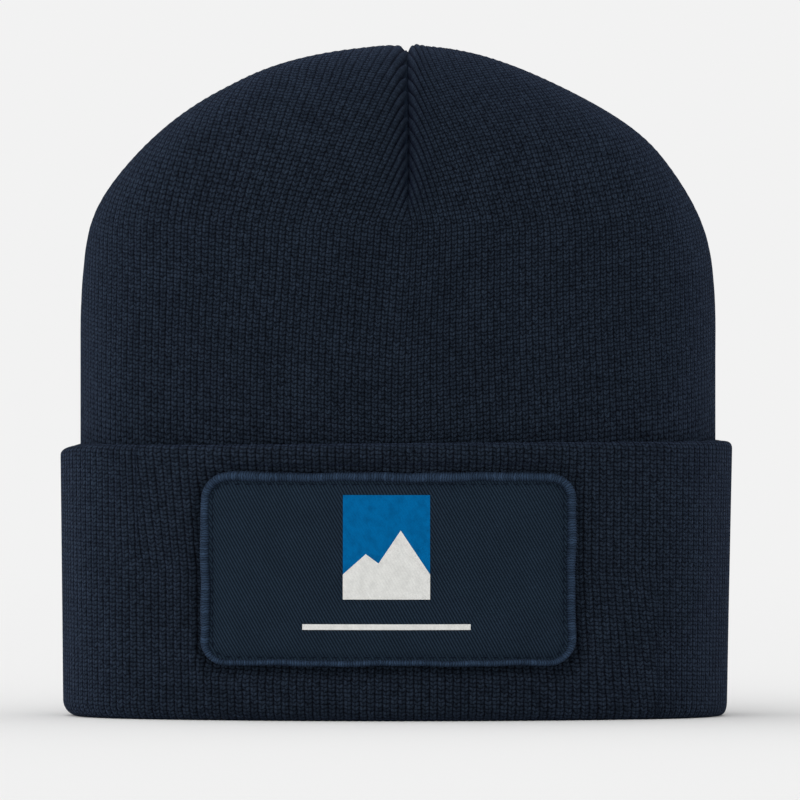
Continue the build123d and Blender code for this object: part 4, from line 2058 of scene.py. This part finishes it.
@dataclass
class Studio:
    """Pale floor, soft light and the camera straight ahead of the hat.

    Attributes:
        field: Width that the camera sees at the hat's middle.
        distance: From the camera to the hat's middle.
        rise: How far the camera looks down, in degrees.
        aim: Point in the middle of the view.
        pale: Colour of the surround.
        paper: Colour of the floor near the hat.
        fill: Brightness of the surround on the camera's side.
        paper_reach: Distance where the floor starts to run into the surround.
        paper_end: Distance where it has.
        fill_start: How far behind the hat the surround starts to brighten.
        fill_end: How far behind it is at its full brightness.
        key: The box above and in front, to the left.
        left: The box on the left, a little behind.
        right: The box on the right, a little behind.
        sensor: Width of the camera's sensor, in its own millimetres.
        reach: How far the camera sees.
        floor_size: Width of the floor.
    """

    field: float = 255.2 * MM
    distance: float = 8.0
    rise: float = 1.2
    aim: tuple[float, float, float] = (0.65 * MM, 0.0, 100.7 * MM)
    pale: str = "#f2f2f2"
    paper: str = "#ebebeb"
    fill: float = 0.6
    paper_reach: float = 0.7
    paper_end: float = 1.6
    fill_start: float = 0.3
    fill_end: float = 0.9
    key: SoftBox = SoftBox((-0.25, -0.65, 0.72), 5.0, 1.55)
    left: SoftBox = SoftBox((-1.0, 0.3, 0.1), 8.0, 3.8)
    right: SoftBox = SoftBox((1.0, 0.15, 0.15), 8.0, 1.6)
    sensor: float = 36.0
    reach: float = 100.0
    floor_size: float = 60.0

    def camera(self) -> None:
        """Sets the camera."""
        data = bpy.data.cameras.new("camera")
        data.sensor_width = self.sensor
        data.lens = self.sensor * self.distance / self.field
        data.clip_end = self.reach
        camera = bpy.data.objects.new("camera", data)
        bpy.context.scene.collection.objects.link(camera)
        tilt = math.radians(self.rise)
        aim = Vector(self.aim)
        camera.location = aim + Vector((0, -math.cos(tilt), math.sin(tilt))) * self.distance
        camera.rotation_euler = (aim - camera.location).to_track_quat("-Z", "Y").to_euler()
        bpy.context.scene.camera = camera

    def floor(self) -> None:
        """Lays the pale floor."""
        bpy.ops.object.select_all(action="DESELECT")
        bpy.ops.mesh.primitive_plane_add(size=self.floor_size, location=(0, 0, 0))
        floor = bpy.context.object
        floor.name = "floor"
        material = bpy.data.materials.new("pale_floor")
        material.use_nodes = True
        tree = material.node_tree
        tree.nodes.clear()
        place = add_node(tree, "ShaderNodeTexCoord").outputs["Object"]
        away = add_node(tree, "ShaderNodeVectorMath", {0: place}, operation="LENGTH")
        share = add_node(
            tree,
            "ShaderNodeMapRange",
            {"Value": away.outputs["Value"], "From Min": self.paper_reach, "From Max": self.paper_end},
            interpolation_type="SMOOTHSTEP",
        )
        paper = add_node(tree, "ShaderNodeBsdfDiffuse", {"Color": linear(self.paper)})
        glow = add_node(tree, "ShaderNodeEmission", {"Color": linear(self.pale)})
        both = add_node(
            tree,
            "ShaderNodeMixShader",
            {0: share.outputs[0], 1: paper.outputs[0], 2: glow.outputs[0]},
        )
        add_node(tree, "ShaderNodeOutputMaterial", {"Surface": both.outputs[0]})
        floor.data.materials.append(material)

    def glow_of(
        self, tree: Tree, heading: Socket, box: SoftBox
    ) -> Socket:
        """One soft box, as a smooth bright patch of the surround.

        Args:
            tree: The surround's node tree.
            heading: The direction that is looked in.
            box: The soft box.

        Returns:
            Its brightness in each direction.
        """
        toward = Vector(box.place).normalized()
        facing = add_node(
            tree, "ShaderNodeVectorMath", {0: heading, 1: toward}, operation="DOT_PRODUCT"
        )
        near = calculate(tree, "MAXIMUM", facing.outputs["Value"], 0.0)
        return calculate(tree, "MULTIPLY", calculate(tree, "POWER", near, box.spread), box.strength)

    def light(self) -> None:
        """Sets a pale surround with soft boxes above and in front, and on both sides."""
        world = bpy.data.worlds.new("surround")
        bpy.context.scene.world = world
        world.use_nodes = True
        tree = world.node_tree
        tree.nodes.clear()
        heading = add_node(tree, "ShaderNodeTexCoord").outputs["Generated"]
        key, left, right = (
            self.glow_of(tree, heading, box) for box in (self.key, self.left, self.right)
        )
        beyond = add_node(tree, "ShaderNodeSeparateXYZ", {0: heading}).outputs[1]
        inputs = {"Value": beyond, "From Min": self.fill_start, "From Max": self.fill_end}
        inputs["To Min"] = self.fill
        ambient = add_node(tree, "ShaderNodeMapRange", inputs, interpolation_type="SMOOTHSTEP")
        extra = calculate(tree, "ADD", calculate(tree, "ADD", key, left), right)
        bright = calculate(tree, "ADD", extra, ambient.outputs[0])
        glow = add_node(
            tree, "ShaderNodeBackground", {"Color": linear(self.pale), "Strength": bright}
        )
        add_node(tree, "ShaderNodeOutputWorld", {"Surface": glow.outputs[0]})

    def view_settings(self) -> None:
        """Shows colours as they are, with no film curve."""
        bpy.context.scene.view_settings.view_transform = "Standard"
        bpy.context.scene.view_settings.look = "None"


# ---- Assembly ----------------------------------------------------------------------
@dataclass(frozen=True)
class Cut:
    """A piece of cloth as it was cut, before it was sewn.

    Attributes:
        width: Its width, round the hat for a knit layer.
        length: Its length.
        held: How it is held now.
    """

    width: float
    length: float
    held: str


@dataclass
class Beanie:
    """The whole hat, put together round the frame.

    Attributes:
        record: The part's record.
        wardrobe: The finishes.
    """

    record: dict
    wardrobe: Wardrobe = field(default_factory=Wardrobe)

    def add(
        self, piece: Piece, body: str, finish: Finish, *nodes: str
    ) -> Piece:
        """Dresses a piece, hangs it on its body and hides the CAD nodes that it replaces.

        Args:
            piece: The finished piece.
            body: The CAD body that it moves with.
            finish: Its finish.
            *nodes: CAD nodes that it replaces.

        Returns:
            The piece.
        """
        self.wardrobe.dress(piece, finish)
        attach(piece, body)
        if nodes:
            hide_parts(*nodes)
        LOG.info("%s: %d faces, on %s", piece.name, len(piece.data.polygons), body)
        return piece

    def dress_nodes(self, nodes: dict[str, Piece]) -> None:
        """Gives each CAD node the finish of its slot."""
        for entry in self.record["subparts"]:
            node = nodes[entry["node"]]
            self.wardrobe.dress(node, Finish(entry["material_slot"]))

    def crown(self, form: Form) -> None:
        """Makes the outer shell and the lining."""
        shell = CrownLayer("outer_shell", form, form.shell_inset, Side.OUTSIDE)
        outside = self.add(shell.build(), "crown", Finish.RIB_KNIT, "outer_shell")
        lining = CrownLayer("lining_shell", form, form.lining_inset, Side.INSIDE)
        self.hang_lining(lining.build())

    def hang_lining(self, piece: Piece) -> None:
        """Dresses the lining, which runs between the crown and the cuff's fold, and hides its CAD
        node.
        """
        self.wardrobe.dress(piece, Finish.LINING_KNIT)
        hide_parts("lining_shell")
        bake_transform(piece)
        LOG.info("%s: %d faces, cuff to crown", piece.name, len(piece.data.polygons))

    def cuff(self, form: Form, shape: PatchShape) -> None:
        """Makes the cuff's outer layer, rolled edge and lower fold."""
        knit = CuffKnit(form, shape)
        wall = knit.sweep("cuff_outer_knit", knit.wall_profile())
        self.add(wall, "cuff", Finish.RIB_KNIT, "cuff_outer")
        hem = knit.sweep("cuff_hem_knit", knit.hem_profile())
        self.add(hem, "cuff", Finish.RIB_KNIT, "cuff_hem")
        fold = knit.sweep("lining_turn_knit", knit.fold_profile())
        self.add(fold, "cuff", Finish.RIB_KNIT, "lining_turn")

    def sewn_patch(self, shape: PatchShape) -> None:
        """Makes the patch and its print."""
        patch = Patch(shape)
        self.add(patch.face(), "cuff", Finish.TWILL, "patch_face")
        self.add(patch.border(), "cuff", Finish.BORDER, "patch_border")
        self.add(patch.stitches(), "cuff", Finish.SEWING, "patch_stitches")
        self.add(patch.panel(), "cuff", Finish.BLUE, "print_panel")
        self.add(patch.hills(), "cuff", Finish.WHITE, "print_hills")
        self.add(patch.rule(), "cuff", Finish.WHITE, "print_rule")

    def label(self) -> None:
        """Makes the care label."""
        ribbon = self.add(CareLabel().build(), "crown", Finish.RIBBON, "care_label")


def main() -> None:
    """Builds the hat round the frame and sets the studio."""
    logging.basicConfig(level=logging.INFO, format="%(message)s")
    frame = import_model()
    studio = Studio()
    studio.camera()
    studio.floor()
    studio.light()
    studio.view_settings()

    form = Form.from_frame()
    shape = PatchShape.from_frame(form)
    hat = Beanie(frame["record"])
    hat.dress_nodes(frame["nodes"])
    hat.crown(form)
    hat.cuff(form, shape)
    hat.sewn_patch(shape)
    hat.label()


if __name__ == "__main__":
    main()
